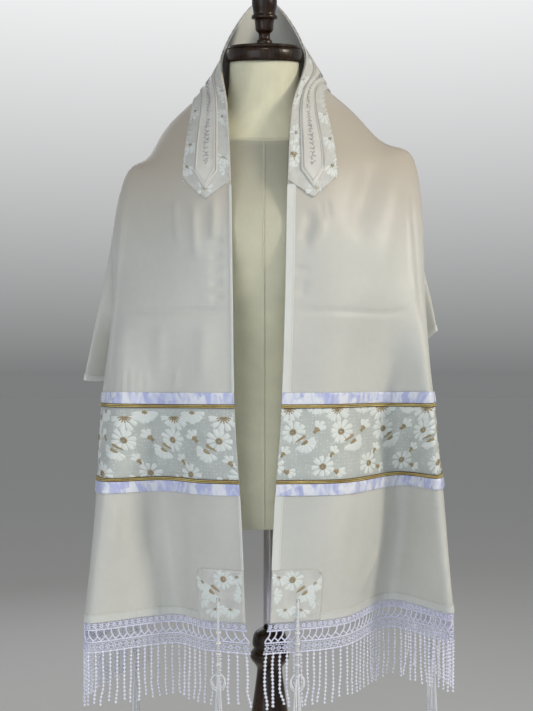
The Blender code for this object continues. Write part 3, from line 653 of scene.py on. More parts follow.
def weave_group() -> bpy.types.NodeTree:
    """Plain weave: threads that pass over and under each other, slightly uneven."""

    def fill(bench: Bench, given: bpy.types.Node, out: bpy.types.Node) -> None:
        """Crossed sine waves, shifted by a little noise."""
        jitter = bench.add("ShaderNodeTexNoise",
                           {"Vector": given.outputs["Place"], "Scale": 90.0, "Detail": 1.0})
        turns = bench.math("DIVIDE", math.pi, given.outputs["Pitch"])
        split = bench.add("ShaderNodeSeparateXYZ", {0: given.outputs["Place"]})
        shift = bench.math("MULTIPLY", jitter.outputs[0], 2.2)
        warp = bench.math("SINE", bench.math("ADD", bench.math("MULTIPLY", split.outputs[0], turns), shift))
        weft = bench.math("SINE", bench.math("ADD", bench.math("MULTIPLY", split.outputs[1], turns), shift))
        cross = bench.math("MULTIPLY", warp, weft)
        slub = bench.add("ShaderNodeTexNoise", {
            "Vector": bench.add("ShaderNodeMapping",
                                {"Vector": given.outputs["Place"], "Scale": (420, 40, 1)}).outputs[0],
            "Scale": 1.0, "Detail": 2.0})
        height = bench.math("ADD", bench.math("MULTIPLY", cross, 0.5), slub.outputs[0])
        bench.tree.links.new(height, out.inputs["Height"])
        bench.tree.links.new(bench.ramp(slub.outputs[0], 0.35, 0.65), out.inputs["Slub"])

    return shade_group("plain_weave", [("Place", VECTOR, None), ("Pitch", FLOAT, 0.0006)],
                       [("Height", FLOAT), ("Slub", FLOAT)], fill)


def mottle_group() -> bpy.types.NodeTree:
    """Soft uneven tone: broad clouds with a little fine grain."""

    def fill(bench: Bench, given: bpy.types.Node, out: bpy.types.Node) -> None:
        """Two noises, one a fifth as strong as the other."""
        broad = bench.add("ShaderNodeTexNoise",
                          {"Vector": given.outputs["Place"], "Scale": given.outputs["Scale"], "Detail": 3.0})
        fine = bench.add("ShaderNodeTexNoise", {
            "Vector": given.outputs["Place"], "Scale": bench.math("MULTIPLY", given.outputs["Scale"], 14.0),
            "Detail": 2.0})
        both = bench.math("ADD", bench.math("MULTIPLY", broad.outputs[0], 0.8),
                          bench.math("MULTIPLY", fine.outputs[0], 0.2))
        bench.tree.links.new(bench.ramp(both, 0.34, 0.66), out.inputs["Mask"])

    return shade_group("mottle", [("Place", VECTOR, None), ("Scale", FLOAT, 12.0)], [("Mask", FLOAT)], fill)


def thread_group() -> bpy.types.NodeTree:
    """Laid thread: fine parallel ridges with uneven strength."""

    def fill(bench: Bench, given: bpy.types.Node, out: bpy.types.Node) -> None:
        """One sine wave across the threads, broken by noise."""
        split = bench.add("ShaderNodeSeparateXYZ", {0: given.outputs["Place"]})
        noise = bench.add("ShaderNodeTexNoise",
                          {"Vector": given.outputs["Place"], "Scale": 260.0, "Detail": 2.0})
        turns = bench.math("DIVIDE", 2 * math.pi, given.outputs["Pitch"])
        wave = bench.math("SINE", bench.math("ADD", bench.math("MULTIPLY", split.outputs[0], turns),
                                             bench.math("MULTIPLY", noise.outputs[0], 5.0)))
        bench.tree.links.new(bench.math("ADD", bench.math("MULTIPLY", wave, 0.5), noise.outputs[0]),
                             out.inputs["Height"])

    return shade_group("laid_thread", [("Place", VECTOR, None), ("Pitch", FLOAT, 0.0007)],
                       [("Height", FLOAT)], fill)


def grain_group() -> bpy.types.NodeTree:
    """Wood grain along the height: long dark pores and broad growth bands."""

    def fill(bench: Bench, given: bpy.types.Node, out: bpy.types.Node) -> None:
        """Stretched noises for the pores and the bands."""
        pores = bench.add("ShaderNodeTexNoise", {
            "Vector": bench.add("ShaderNodeMapping",
                                {"Vector": given.outputs["Place"], "Scale": (420, 420, 22)}).outputs[0],
            "Scale": 1.0, "Detail": 4.0, "Roughness": 0.6})
        bands = bench.add("ShaderNodeTexNoise", {
            "Vector": bench.add("ShaderNodeMapping",
                                {"Vector": given.outputs["Place"], "Scale": (95, 95, 7)}).outputs[0],
            "Scale": 1.0, "Detail": 3.0, "Distortion": 0.6})
        bench.tree.links.new(bench.ramp(pores.outputs[0], 0.40, 0.62), out.inputs["Pores"])
        bench.tree.links.new(bench.ramp(bands.outputs[0], 0.36, 0.64), out.inputs["Bands"])

    return shade_group("wood_grain", [("Place", VECTOR, None)], [("Pores", FLOAT), ("Bands", FLOAT)], fill)


@dataclass(frozen=True)
class Finish:
    """A finish: one material of its slot, made once.

    Attributes:
        name: The material's name.
        slot: The slot that it belongs to; not used.
        colour: Its usual colour, linear.
        second: The colour of its darker or duller places.
        roughness: Its usual roughness.
    """

    name: str
    slot: str
    colour: tuple[float, float, float]
    second: tuple[float, float, float]
    roughness: float

    def material(self) -> bpy.types.Material:
        """The material, built on first use."""
        if self.name in bpy.data.materials:
            return bpy.data.materials[self.name]
        made = bpy.data.materials.new(self.name)
        made.use_nodes = True
        self.mix(Bench(made.node_tree), made.node_tree.nodes["Principled BSDF"])
        return made

    def place(self, bench: Bench) -> bpy.types.NodeSocket:
        """Where patterns are read: the piece's own map in metres of cloth."""
        return bench.add("ShaderNodeUVMap", uv_map="cloth").outputs[0]

    @staticmethod
    def _group(bench: Bench, tree: bpy.types.NodeTree, inputs: dict) -> bpy.types.Node:
        """Adds a group node, whose sockets exist only once its tree is set."""
        made = bench.add("ShaderNodeGroup", node_tree=tree)
        for key, value in inputs.items():
            if isinstance(value, bpy.types.NodeSocket):
                bench.tree.links.new(value, made.inputs[key])
            else:
                made.inputs[key].default_value = value
        return made

    def mix(self, bench: Bench, shader: bpy.types.Node) -> None:
        """Sets the shader and its pattern nodes."""
        raise NotImplementedError


def wire(bench: Bench, shader: bpy.types.Node, colour: Any, roughness: Any, height: Any,
         strength: float, distance: float) -> None:
    """Joins a colour, a roughness and a bump height to a shader.

    Args:
        bench: The material's tree.
        shader: Its Principled shader.
        colour: Colour socket.
        roughness: Roughness socket.
        height: Height socket for the bump.
        strength: Strength of the bump.
        distance: How deep the bump is at full strength.
    """
    links = bench.tree.links
    links.new(colour, shader.inputs["Base Color"])
    links.new(roughness, shader.inputs["Roughness"])
    bump = bench.add("ShaderNodeBump", {"Height": height, "Strength": strength, "Distance": distance})
    links.new(bump.outputs[0], shader.inputs["Normal"])


def solid(colour: tuple[float, float, float]) -> tuple[float, float, float, float]:
    """The colour with full alpha."""
    return (*colour, 1.0)


@dataclass(frozen=True)
class WovenFinish(Finish):
    """Cloth with a visible weave.

    Attributes:
        pitch: Thread spacing.
        relief: How deep the weave is.
        sheen: Strength of the soft sheen at grazing angles.
        mottling: Scale of its uneven tone.
        dots: Scale of its woven dots; none where 0.
        shoulder_shade: How strongly painted shade, in warm brown, darkens it over the shoulders.
        body_shade: How strongly painted shade darkens the form's body below its neck, by the mesh's own attribute.
    """

    pitch: float = 0.0006
    relief: float = 0.00012
    sheen: float = 0.2
    mottling: float = 7.0
    dots: float = 0.0
    shoulder_shade: float = 0.0
    body_shade: float = 0.0

    def mix(self, bench: Bench, shader: bpy.types.Node) -> None:
        """Weave bump, uneven tone, slubs that are rougher than the rest, and painted shade over the shoulders and on
        the form's body where asked.
        """
        place = self.place(bench)
        weave = self._group(bench, weave_group(), {"Place": place, "Pitch": self.pitch})
        tone = self._group(bench, mottle_group(), {"Place": place, "Scale": self.mottling})
        colour = bench.mix(tone.outputs["Mask"], solid(self.second), solid(self.colour))
        if self.dots:
            cells = bench.add("ShaderNodeTexVoronoi",
                              {"Vector": place, "Scale": self.dots, "Randomness": 0.35})
            near = bench.ramp(cells.outputs["Distance"], 0.30, 0.12)
            colour = bench.mix(bench.math("MULTIPLY", near, 0.55), colour, (0.80, 0.84, 0.82, 1))
        # Painted shade on the form's body, read from the body attribute.
        if self.body_shade:
            part = bench.add("ShaderNodeAttribute", attribute_name="body").outputs["Fac"]
            colour = bench.mix(bench.math("MULTIPLY", part, self.body_shade), colour, (0.35, 0.34, 0.29, 1))
        # Painted shade: a warm brown over the shoulders, in a band of height.
        if self.shoulder_shade:
            height = bench.add("ShaderNodeSeparateXYZ",
                               {0: bench.add("ShaderNodeTexCoord").outputs["Object"]}).outputs[2]
            over = bench.math("MULTIPLY", bench.ramp(height, 1.15, 1.29), bench.ramp(height, 1.47, 1.36))
            colour = bench.mix(bench.math("MULTIPLY", over, self.shoulder_shade), colour, (0.53, 0.465, 0.385, 1))
        rough = bench.math("ADD", bench.math("MULTIPLY", weave.outputs["Slub"], 0.10), self.roughness - 0.05)
        wire(bench, shader, colour, rough, weave.outputs["Height"], 1.0, self.relief)
        shader.inputs["Sheen Weight"].default_value = self.sheen
        shader.inputs["Sheen Roughness"].default_value = 0.45
        shader.inputs["Specular IOR Level"].default_value = 0.35


@dataclass(frozen=True)
class SatinFinish(Finish):
    """Smooth satin with a running gloss, fine warp lines, and painted highlight in patches."""

    relief: float = 0.00006
    streaks: tuple[float, float] = (30.0, 30.0)

    def mix(self, bench: Bench, shader: bpy.types.Node) -> None:
        """Fine warp lines, lighter and glossier patches where the pile of threads turns, partly painted highlight on
        the crinkles, and a low roughness.
        """
        place = self.place(bench)
        threads = self._group(bench, thread_group(), {"Place": place, "Pitch": 0.0005})
        stretched = bench.add("ShaderNodeMapping",
                              {"Vector": place, "Scale": (*self.streaks, 1.0)}).outputs[0]
        cloud = bench.add("ShaderNodeTexNoise",
                          {"Vector": stretched, "Scale": 1.0, "Detail": 1.5, "Distortion": 0.9})
        facet = bench.add("ShaderNodeTexVoronoi", {"Vector": stretched, "Scale": 0.9})
        both = bench.math("ADD", bench.math("MULTIPLY", facet.outputs["Color"], 0.55), cloud.outputs[0])
        # The lighter patches are partly the turning pile and partly painted highlight on the crinkles; the darker
        # lilac is the satin's own colour.
        turn = bench.ramp(both, 0.62, 0.92)
        colour = bench.mix(turn, solid(self.second), solid(self.colour))
        rough = bench.math("ADD", bench.math("MULTIPLY", turn, -0.06), self.roughness + 0.04)
        wire(bench, shader, colour, rough, threads.outputs["Height"], 1.0, self.relief)
        shader.inputs["Sheen Weight"].default_value = 0.15
        shader.inputs["Specular IOR Level"].default_value = 0.6


@dataclass(frozen=True)
class ThreadFinish(Finish):
    """Thread, yarn and cord, read on object coordinates.

    Attributes:
        metal: Metallic value, for metal thread.
        glint: Scale of the light and dark specks.
    """

    metal: float = 0.0
    glint: float = 900.0
    relief: float = 0.00010

    def mix(self, bench: Bench, shader: bpy.types.Node) -> None:
        """Fine specks in colour, roughness and height."""
        place = bench.add("ShaderNodeTexCoord").outputs["Object"]
        specks = bench.add("ShaderNodeTexNoise", {"Vector": place, "Scale": self.glint, "Detail": 2.0})
        mask = bench.ramp(specks.outputs[0], 0.38, 0.62)
        tone = self._group(bench, mottle_group(), {"Place": place, "Scale": 25.0})
        both = bench.math("MULTIPLY", bench.math("ADD", mask, tone.outputs["Mask"]), 0.5)
        colour = bench.mix(both, solid(self.second), solid(self.colour))
        rough = bench.math("ADD", bench.math("MULTIPLY", mask, -0.16), self.roughness + 0.08)
        wire(bench, shader, colour, rough, specks.outputs[0], 1.0, self.relief)
        shader.inputs["Metallic"].default_value = self.metal
        shader.inputs["Sheen Weight"].default_value = 0.0 if self.metal else 0.2


@dataclass(frozen=True)
class WoodFinish(Finish):
    """Dark stained hardwood, glossy, with lighter ridges: partly wear, partly painted highlight."""

    worn: tuple[float, float, float] = (0.20, 0.11, 0.055)

    def mix(self, bench: Bench, shader: bpy.types.Node) -> None:
        """Grain along the height, and wear with painted highlight from the ridge attribute."""
        place = bench.add("ShaderNodeTexCoord").outputs["Object"]
        grain = self._group(bench, grain_group(), {"Place": place})
        tone = self._group(bench, mottle_group(), {"Place": place, "Scale": 28.0})
        # The lighter colour on the turned ridges is partly wear and partly painted highlight.
        ridge = bench.add("ShaderNodeAttribute", attribute_name="ridge").outputs["Fac"]
        dark = bench.mix(grain.outputs["Bands"], solid(self.second), solid(self.colour))
        ridge_wear_and_highlight = bench.math("MULTIPLY", ridge, bench.math("ADD", tone.outputs["Mask"], 0.35))
        colour = bench.mix(bench.ramp(ridge_wear_and_highlight, 0.30, 1.25), dark, solid(self.worn))
        pored = bench.mix(bench.math("MULTIPLY", grain.outputs["Pores"], 0.45), colour,
                          (0.008, 0.005, 0.004, 1))
        rough = bench.math("ADD", bench.math("MULTIPLY", grain.outputs["Pores"], 0.14), self.roughness)
        wire(bench, shader, pored, rough, grain.outputs["Pores"], 0.5, -0.00015)
        shader.inputs["Coat Weight"].default_value = 0.15
        shader.inputs["Coat Roughness"].default_value = 0.12
        shader.inputs["Specular IOR Level"].default_value = 0.25


@dataclass(frozen=True)
class SteelFinish(Finish):
    """Plated tube with faint lengthwise polishing lines."""

    def mix(self, bench: Bench, shader: bpy.types.Node) -> None:
        """Stretched noise for the polish."""
        place = bench.add("ShaderNodeTexCoord").outputs["Object"]
        lines = bench.add("ShaderNodeTexNoise", {
            "Vector": bench.add("ShaderNodeMapping", {"Vector": place, "Scale": (900, 900, 12)}).outputs[0],
            "Scale": 1.0, "Detail": 2.0})
        mask = bench.ramp(lines.outputs[0], 0.35, 0.65)
        colour = bench.mix(mask, solid(self.second), solid(self.colour))
        rough = bench.math("ADD", bench.math("MULTIPLY", mask, 0.10), self.roughness)
        wire(bench, shader, colour, rough, lines.outputs[0], 0.3, 0.00004)
        shader.inputs["Metallic"].default_value = 1.0


IVORY = WovenFinish("ivory_crepe", "ivory_cloth", (0.65, 0.645, 0.60), (0.585, 0.585, 0.55), 0.38,
                    pitch=0.0007, relief=0.00008, sheen=0.2, shoulder_shade=0.9)
IVORY_HEM = WovenFinish("ivory_hem", "ivory_cloth", (0.76, 0.77, 0.74), (0.70, 0.71, 0.68), 0.42,
                        pitch=0.0007, relief=0.00008)
FOOT_HEM = WovenFinish("ivory_foot_hem", "ivory_cloth", (0.69, 0.70, 0.67), (0.62, 0.63, 0.60), 0.42,
                       pitch=0.0007, relief=0.00008)
SHEER = WovenFinish("floral_sheer_ground", "floral_jacquard", (0.56, 0.59, 0.565), (0.47, 0.505, 0.485), 0.60,
                    pitch=0.0010, relief=0.00018, sheen=0.3, mottling=40.0, dots=210.0)
FLORAL = WovenFinish("floral_opaque_ground", "floral_jacquard", (0.68, 0.675, 0.64), (0.575, 0.575, 0.545),
                     0.60,
                     pitch=0.0009, relief=0.00016, sheen=0.3, mottling=70.0)
LINEN = WovenFinish("woven_linen", "cream_linen", (0.90, 0.872, 0.65), (0.80, 0.775, 0.58), 0.80,
                    pitch=0.0013, relief=0.00045, sheen=0.3, mottling=26.0, body_shade=0.55)
RIBBON = SatinFinish("lilac_satin", "white_satin", (0.82, 0.84, 0.93), (0.50, 0.54, 0.83), 0.20,
                     streaks=(78.0, 40.0))
PEARL = SatinFinish("pearl_satin", "white_satin", (0.77, 0.755, 0.715), (0.70, 0.685, 0.645), 0.32)
GOLD = ThreadFinish("gold_thread", "gold_braid", (1.0, 0.84, 0.36), (0.26, 0.17, 0.05), 0.25, metal=0.3,
                    glint=620.0)
BRONZE = ThreadFinish("braid_backing", "gold_braid", (0.16, 0.09, 0.03), (0.07, 0.04, 0.015), 0.50, metal=0.4)
PETAL = ThreadFinish("petal_thread", "floral_jacquard", (0.80, 0.83, 0.81), (0.70, 0.74, 0.72), 0.48,
                     glint=700.0)
STAMEN = ThreadFinish("brown_gold_thread", "floral_jacquard", (0.46, 0.37, 0.22), (0.27, 0.205, 0.11), 0.42,
                      metal=0.1)
GREY_THREAD = ThreadFinish("grey_thread", "white_satin", (0.40, 0.40, 0.42), (0.28, 0.28, 0.30), 0.45)
LACE = ThreadFinish("lace_thread", "white_lace", (0.82, 0.83, 0.96), (0.68, 0.69, 0.88), 0.50, glint=1100.0)
BEAD = ThreadFinish("bead_thread", "white_lace", (0.93, 0.935, 1.0), (0.80, 0.81, 0.94), 0.32, glint=1100.0)
YARN = ThreadFinish("white_yarn", "white_yarn", (0.82, 0.83, 0.85), (0.64, 0.65, 0.68), 0.62, glint=1300.0)
SEWING = ThreadFinish("sewing_thread", "ivory_cloth", (0.60, 0.59, 0.54), (0.46, 0.45, 0.41), 0.5)
LINEN_SHADE = ThreadFinish("linen_shade", "cream_linen", (0.34, 0.325, 0.265), (0.28, 0.265, 0.215), 0.8)
LINEN_SEAM = ThreadFinish("linen_seam", "cream_linen", (0.88, 0.85, 0.67), (0.76, 0.73, 0.57), 0.7)
WOOD = WoodFinish("stained_hardwood", "dark_wood", (0.044, 0.021, 0.009), (0.014, 0.007, 0.003), 0.20,
                  (0.17, 0.085, 0.036))
STEEL = SteelFinish("plated_steel", "steel", (0.66, 0.63, 0.66), (0.52, 0.50, 0.52), 0.20)


def grower(name: str, sockets: Sequence[tuple[str, str, Any]],
           fill: Callable[[Bench, bpy.types.Node], Any]) -> Any:
    """Makes a geometry tree once, which ends in Realize Instances and Set Material.

    Args:
        name: What the tree makes.
        sockets: Name, kind and first value of each input after the geometry.
        fill: Adds the nodes and gives back the geometry socket that they end in.

    Returns:
        The tree.
    """
    if name in bpy.data.node_groups:
        return bpy.data.node_groups[name]
    tree = bpy.data.node_groups.new(name, "GeometryNodeTree")
    tree.interface.new_socket("Geometry", in_out="INPUT", socket_type="NodeSocketGeometry")
    for label, kind, value in (*sockets, ("Finish", "NodeSocketMaterial", None)):
        socket = tree.interface.new_socket(label, in_out="INPUT", socket_type=kind)
        if value is not None:
            socket.default_value = value
    tree.interface.new_socket("Geometry", in_out="OUTPUT", socket_type="NodeSocketGeometry")
    bench = Bench(tree)
    given, out = bench.add("NodeGroupInput"), bench.add("NodeGroupOutput")
    rounded = bench.add("GeometryNodeSetShadeSmooth", {"Geometry": fill(bench, given)})
    real = bench.add("GeometryNodeRealizeInstances", {"Geometry": rounded.outputs[0]})
    dressed = bench.add("GeometryNodeSetMaterial",
                        {"Geometry": real.outputs[0], "Material": given.outputs["Finish"]})
    tree.links.new(dressed.outputs[0], out.inputs[0])
    return tree


INTEGER = "NodeSocketInt"


def thread_tree() -> Any:
    """Thread along each line, as thick as Radius times the line's own swell."""

    def fill(bench: Bench, given: bpy.types.Node) -> bpy.types.NodeSocket:
        """A circle swept along the lines."""
        line = bench.add("GeometryNodeMeshToCurve", {"Mesh": given.outputs["Geometry"]})
        swell = bench.add("GeometryNodeInputNamedAttribute", {"Name": "swell"}, data_type="FLOAT")
        sized = bench.add("GeometryNodeSetCurveRadius",
                          {"Curve": line.outputs[0], "Radius": swell.outputs["Attribute"]})
        ring = bench.add("GeometryNodeCurvePrimitiveCircle",
                         {"Resolution": given.outputs["Sides"], "Radius": given.outputs["Radius"]})
        swept = bench.add("GeometryNodeCurveToMesh",
                          {"Curve": sized.outputs[0], "Profile Curve": ring.outputs[0], "Fill Caps": True})
        return swept.outputs[0]

    return grower("thread_on_lines", [("Radius", FLOAT, 0.0005), ("Sides", INTEGER, 5)], fill)


def bead_tree() -> Any:
    """Beads strung along each line."""

    def fill(bench: Bench, given: bpy.types.Node) -> bpy.types.NodeSocket:
        """A small ball at even steps, with slightly uneven sizes."""
        line = bench.add("GeometryNodeMeshToCurve", {"Mesh": given.outputs["Geometry"]})
        steps = bench.add("GeometryNodeResampleCurve",
                          {"Curve": line.outputs[0], "Length": given.outputs["Spacing"]}, mode="LENGTH")
        ball = bench.add("GeometryNodeMeshUVSphere",
                         {"Segments": 7, "Rings": 5, "Radius": given.outputs["Radius"]})
        size = bench.add("FunctionNodeRandomValue", {
            2: bench.add("ShaderNodeMath", {0: 1.0, 1: given.outputs["Uneven"]},
                         operation="SUBTRACT").outputs[0],
            3: 1.0, "Seed": given.outputs["Seed"]}, data_type="FLOAT")
        strung = bench.add("GeometryNodeInstanceOnPoints", {
            "Points": steps.outputs[0], "Instance": ball.outputs["Mesh"], "Scale": size.outputs[1]})
        return strung.outputs[0]

    return grower("beads_on_lines",
                  [("Spacing", FLOAT, 0.003), ("Radius", FLOAT, 0.0013), ("Uneven", FLOAT, 0.15),
                                     ("Seed", INTEGER, 3)], fill)


def stitch_tree() -> Any:
    """Stitches at even steps along each line, turned by an angle in the plane of the cloth."""

    def fill(bench: Bench, given: bpy.types.Node) -> bpy.types.NodeSocket:
        """A stretched ball for each stitch."""
        line = bench.add("GeometryNodeMeshToCurve", {"Mesh": given.outputs["Geometry"]})
        steps = bench.add("GeometryNodeResampleCurve",
                          {"Curve": line.outputs[0], "Length": given.outputs["Spacing"]}, mode="LENGTH")
        ball = bench.add("GeometryNodeMeshUVSphere", {"Segments": 6, "Rings": 4, "Radius": 1.0})
        half = bench.math("MULTIPLY", given.outputs["Length"], 0.5)
        size = bench.add("ShaderNodeCombineXYZ",
                         {0: half, 1: given.outputs["Radius"], 2: given.outputs["Radius"]})
        grain = bench.add("GeometryNodeTransform",
                          {"Geometry": ball.outputs["Mesh"], "Scale": size.outputs[0]})
        tangent = bench.add("GeometryNodeInputTangent")
        facing = bench.add("FunctionNodeAlignRotationToVector", {"Vector": tangent.outputs[0]}, axis="X",
                           pivot_axis="Z")
        turn = bench.add("ShaderNodeCombineXYZ", {2: given.outputs["Turn"]})
        turned = bench.add("FunctionNodeRotateRotation", {
            "Rotation": facing.outputs[0],
            "Rotate By": bench.add("FunctionNodeEulerToRotation", {0: turn.outputs[0]}).outputs[0]},
            rotation_space="LOCAL")
        sewn = bench.add("GeometryNodeInstanceOnPoints", {
            "Points": steps.outputs[0], "Instance": grain.outputs[0], "Rotation": turned.outputs[0]})
        return sewn.outputs[0]

    return grower("stitches_on_lines",
                  [("Spacing", FLOAT, 0.003), ("Length", FLOAT, 0.002), ("Radius", FLOAT, 0.0003),
                                        ("Turn", FLOAT, 0.0)], fill)


def grow(name: str, runs: Iterable[Sequence], tree: Any, finish: Finish, **values: Any) -> bpy.types.Mesh:
    """Grows a plain mesh on lines with a geometry tree.

    Args:
        name: The mesh's name.
        runs: Lines of points; a fourth number at a point is its swell.
        tree: The geometry tree.
        finish: The finish that Set Material gives.
        values: A value for each of the tree's named inputs.

    Returns:
        The mesh, with no modifier left.
    """
    points, edges, swells = [], [], []
    for run in runs:
        start = len(points)
        points += [tuple(p[:3]) for p in run]
        swells += [p[3] if len(p) > 3 else 1.0 for p in run]
        edges += [(start + k, start + k + 1) for k in range(len(run) - 1)]
    lines = bpy.data.meshes.new(name + "_lines")
    lines.from_pydata(points, edges, [])
    lines.attributes.new("swell", "FLOAT", "POINT").data.foreach_set("value", swells)
    carrier = bpy.data.objects.new(name + "_lines", lines)
    bpy.context.scene.collection.objects.link(carrier)
    modifier = carrier.modifiers.new("grow", "NODES")
    modifier.node_group = tree
    for item in tree.interface.items_tree:
        if item.in_out != "INPUT":
            continue
        if item.name == "Finish":
            modifier[item.identifier] = finish.material()
        elif item.name in values:
            modifier[item.identifier] = values[item.name]
    graph = bpy.context.evaluated_depsgraph_get()
    grown = bpy.data.meshes.new_from_object(carrier.evaluated_get(graph), preserve_all_data_layers=True,
                                            depsgraph=graph)
    bpy.data.objects.remove(carrier)
    bpy.data.meshes.remove(lines)
    grown.name = name
    return grown


class Workshop:
    """Puts finished pieces on the object and keeps their tally."""

    def __init__(self) -> None:
        """Starts with no pieces."""
        self.triangles = 0

    def put(self, name: str, mesh: bpy.types.Mesh, finish: Finish, *nodes: str) -> bpy.types.Object:
        """Adds a piece that rides on the part.

        Args:
            name: The piece's name.
            mesh: Its mesh, already in place.
            finish: Its finish, given where the mesh has none yet.
            nodes: The solids that it stands for.

        Returns:
            The piece.
        """
        piece = bpy.data.objects.new(name, mesh)
        if not mesh.materials:
            mesh.materials.append(finish.material())
        bpy.context.scene.collection.objects.link(piece)
        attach(piece, "root")
        if nodes:
            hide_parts(*nodes)
        count = sum(len(p.vertices) - 2 for p in mesh.polygons)
        self.triangles += count
        LOG.info("%s: %d triangles", name, count)
        return piece


def joined(name: str, meshes: Sequence[bpy.types.Mesh]) -> bpy.types.Mesh:
    """Joins meshes of one place and keeps their finishes and maps.

    Args:
        name: The joined mesh's name.
        meshes: The meshes, which are used up.

    Returns:
        One mesh.
    """
    together = bmesh.new()
    slots: list[bpy.types.Material] = []
    for mesh in meshes:
        first = len(together.faces)
        order = []
        for finish in mesh.materials:
            if finish not in slots:
                slots.append(finish)
            order.append(slots.index(finish))
        together.from_mesh(mesh)
        together.faces.ensure_lookup_table()
        for face in together.faces[first:]:
            face.material_index = order[face.material_index] if order else 0
    made = bpy.data.meshes.new(name)
    together.to_mesh(made)
    together.free()
    for finish in slots:
        made.materials.append(finish)
    for mesh in meshes:
        bpy.data.meshes.remove(mesh)
    return made


@dataclass
class ShawlPiece:
    """What every part of the shawl shares: the drape it lies on and the workshop that keeps it."""

    drape: Drape
    shop: Workshop

    def panel(self, name: str, s: np.ndarray, w: np.ndarray, lift: Any, wall: float) -> bpy.types.Mesh:
        """Builds a sheet over a grid of cloth places.

        Args:
            name: The mesh's name.
            s: Rows and columns of places along the cloth.
            w: The same across it.
            lift: Height of its middle over the middle of the cloth.
            wall: Its thickness.

        Returns:
            The sheet's mesh.
        """
        lift = np.broadcast_to(np.asarray(lift, float), s.shape)
        top = self.drape.lay(s, w, lift + wall / 2)
        under = self.drape.lay(s, w, lift - wall / 2)
        turned = (s[-1, 0] - s[0, 0]) * (w[0, -1] - w[0, 0]) < 0
        return sheet_mesh(name, top, under, np.stack([w, s], axis=-1), turned)


def grid(s: np.ndarray, w: np.ndarray) -> tuple[np.ndarray, np.ndarray]:
    """Rows and columns of cloth places from the two lists of lines."""
    return tuple(np.meshgrid(s, w, indexing="ij"))


def band_edges() -> list[float]:
    """Where each ribbon and the floral band start and end, from the centre back."""
    widths = (SATIN_WIDTH, GOLD_WIDTH, FLORAL_WIDTH, GOLD_WIDTH, SATIN_WIDTH)
    return [BAND_TOP + sum(widths[:k]) for k in range(len(widths) + 1)]


@dataclass
class ClothLengths(ShawlPiece):
    """The five lengths of cloth: the body, and at each end a floral band and an end panel, with their hems.

    Attributes:
        step: Size of the mesh's cells.
        calm_places: Place along the cloth up to which the cells are twice as long.
        calm_widths: Width past which the cells are twice as wide.
        seam_gap: Half the gap at each seam.
        facing: Width of the front hem on each side.
        hem: Height of the hem above the lace.
    """

    step: float = 0.0037
    seam_gap: float = 0.00015
    calm_places: float = 0.340
    calm_widths: float = 0.235
    facing: dict = field(default_factory=lambda: {Side.LEFT: 0.0115, Side.RIGHT: 0.0030})
    hem: float = 0.0105
    hem_wall: float = 0.0009

    def build(self) -> list[bpy.types.Object]:
        """Builds the body and, at each end, the floral band's ground and the end panel."""
        edges = band_edges()
        top, bottom = (edges[1] + edges[2]) / 2, (edges[3] + edges[4]) / 2
        across = np.concatenate([
            [0.0, 0.0012],
            spaced(self.step, self.calm_widths, self.step),
            spaced(self.calm_widths, CLOTH_WIDTH - 0.0012, 2 * self.step)[1:],
            [CLOTH_WIDTH],
        ])
        half = np.concatenate([
            spaced(0.0, self.calm_places, 2 * self.step),
            spaced(self.calm_places, top - self.seam_gap, self.step, 0.0012)[2:],
        ])
        body = np.concatenate([-half[:0:-1], half])
        made = [self.shop.put("shawl_body", self.panel("shawl_body", *grid(body, across), 0.0, CLOTH_WALL),
                              IVORY, "tallit_body")]
        for side in Side:
            lengths = (
                (f"band_ground_{side.word}", top, bottom, SHEER, f"floral_band_{side.word}"),
                (f"end_cloth_{side.word}", bottom, HALF_LENGTH, IVORY, f"end_panel_{side.word}"),
            )
            for name, start, end, finish, node in lengths:
                along = side.value * spaced(start + self.seam_gap, end, self.step, 0.0012)
                made.append(self.shop.put(name, self.panel(name, *grid(along, across), 0.0, CLOTH_WALL),
                                          finish, node))
        return made

    def hems(self, side: Side) -> list[bpy.types.Object]:
        """Builds the folded hems of one end: front edge, outer rim and foot, with their stitches."""
        lift = CLOTH_WALL / 2 + self.hem_wall / 2
        edges = band_edges()
        inner = self.facing[side]
        strips, seams = [], []
        runs = (
            (0.372, edges[0], -0.0008, inner),
            (edges[5], HALF_LENGTH - PATCH_SIDE, -0.0008, inner),
            (0.300, edges[0], CLOTH_WIDTH - 0.008, CLOTH_WIDTH + 0.0008),
            (edges[5], HALF_LENGTH - PATCH_SIDE, CLOTH_WIDTH - 0.008, CLOTH_WIDTH + 0.0008),
            (HALF_LENGTH - self.hem, HALF_LENGTH + 0.0006, PATCH_SIDE, CLOTH_WIDTH - PATCH_SIDE),
        )
        for k, (start, end, near, far) in enumerate(runs):
            s, w = grid(side.value * spaced(start, end, 0.006, 0.001), spaced(near, far, 0.003, 0.0008))
            gather = 0.00030 * np.sin(w * 760 + 2 * np.sin(w * 61)) if k == 4 else 0.00018 * np.sin(s * 210) * np.sin(w * 330)
            strips.append(self.panel("hem", s, w, lift + gather, self.hem_wall))
            strips[-1].materials.append((IVORY_HEM if k < 4 else FOOT_HEM).material())
            height = lift + self.hem_wall / 2 + 0.0001
            if k < 4:
                line = far - 0.0018 if k < 2 else near + 0.0018
                seams.append([(line, d, height) for d in np.arange(start, end, 0.01)])
            else:
                seams.append([(x, start + 0.0018, height) for x in np.arange(near, far, 0.01)])
        stitches = self.drape.dress(grow("hem_stitches", seams, stitch_tree(), SEWING, Spacing=0.0026,
                                         Length=0.0017,
                                         Radius=0.00028), side)
        name = f"hems_{side.word}"
        return [self.shop.put(name, joined(name, [*strips, stitches]), IVORY_HEM)]


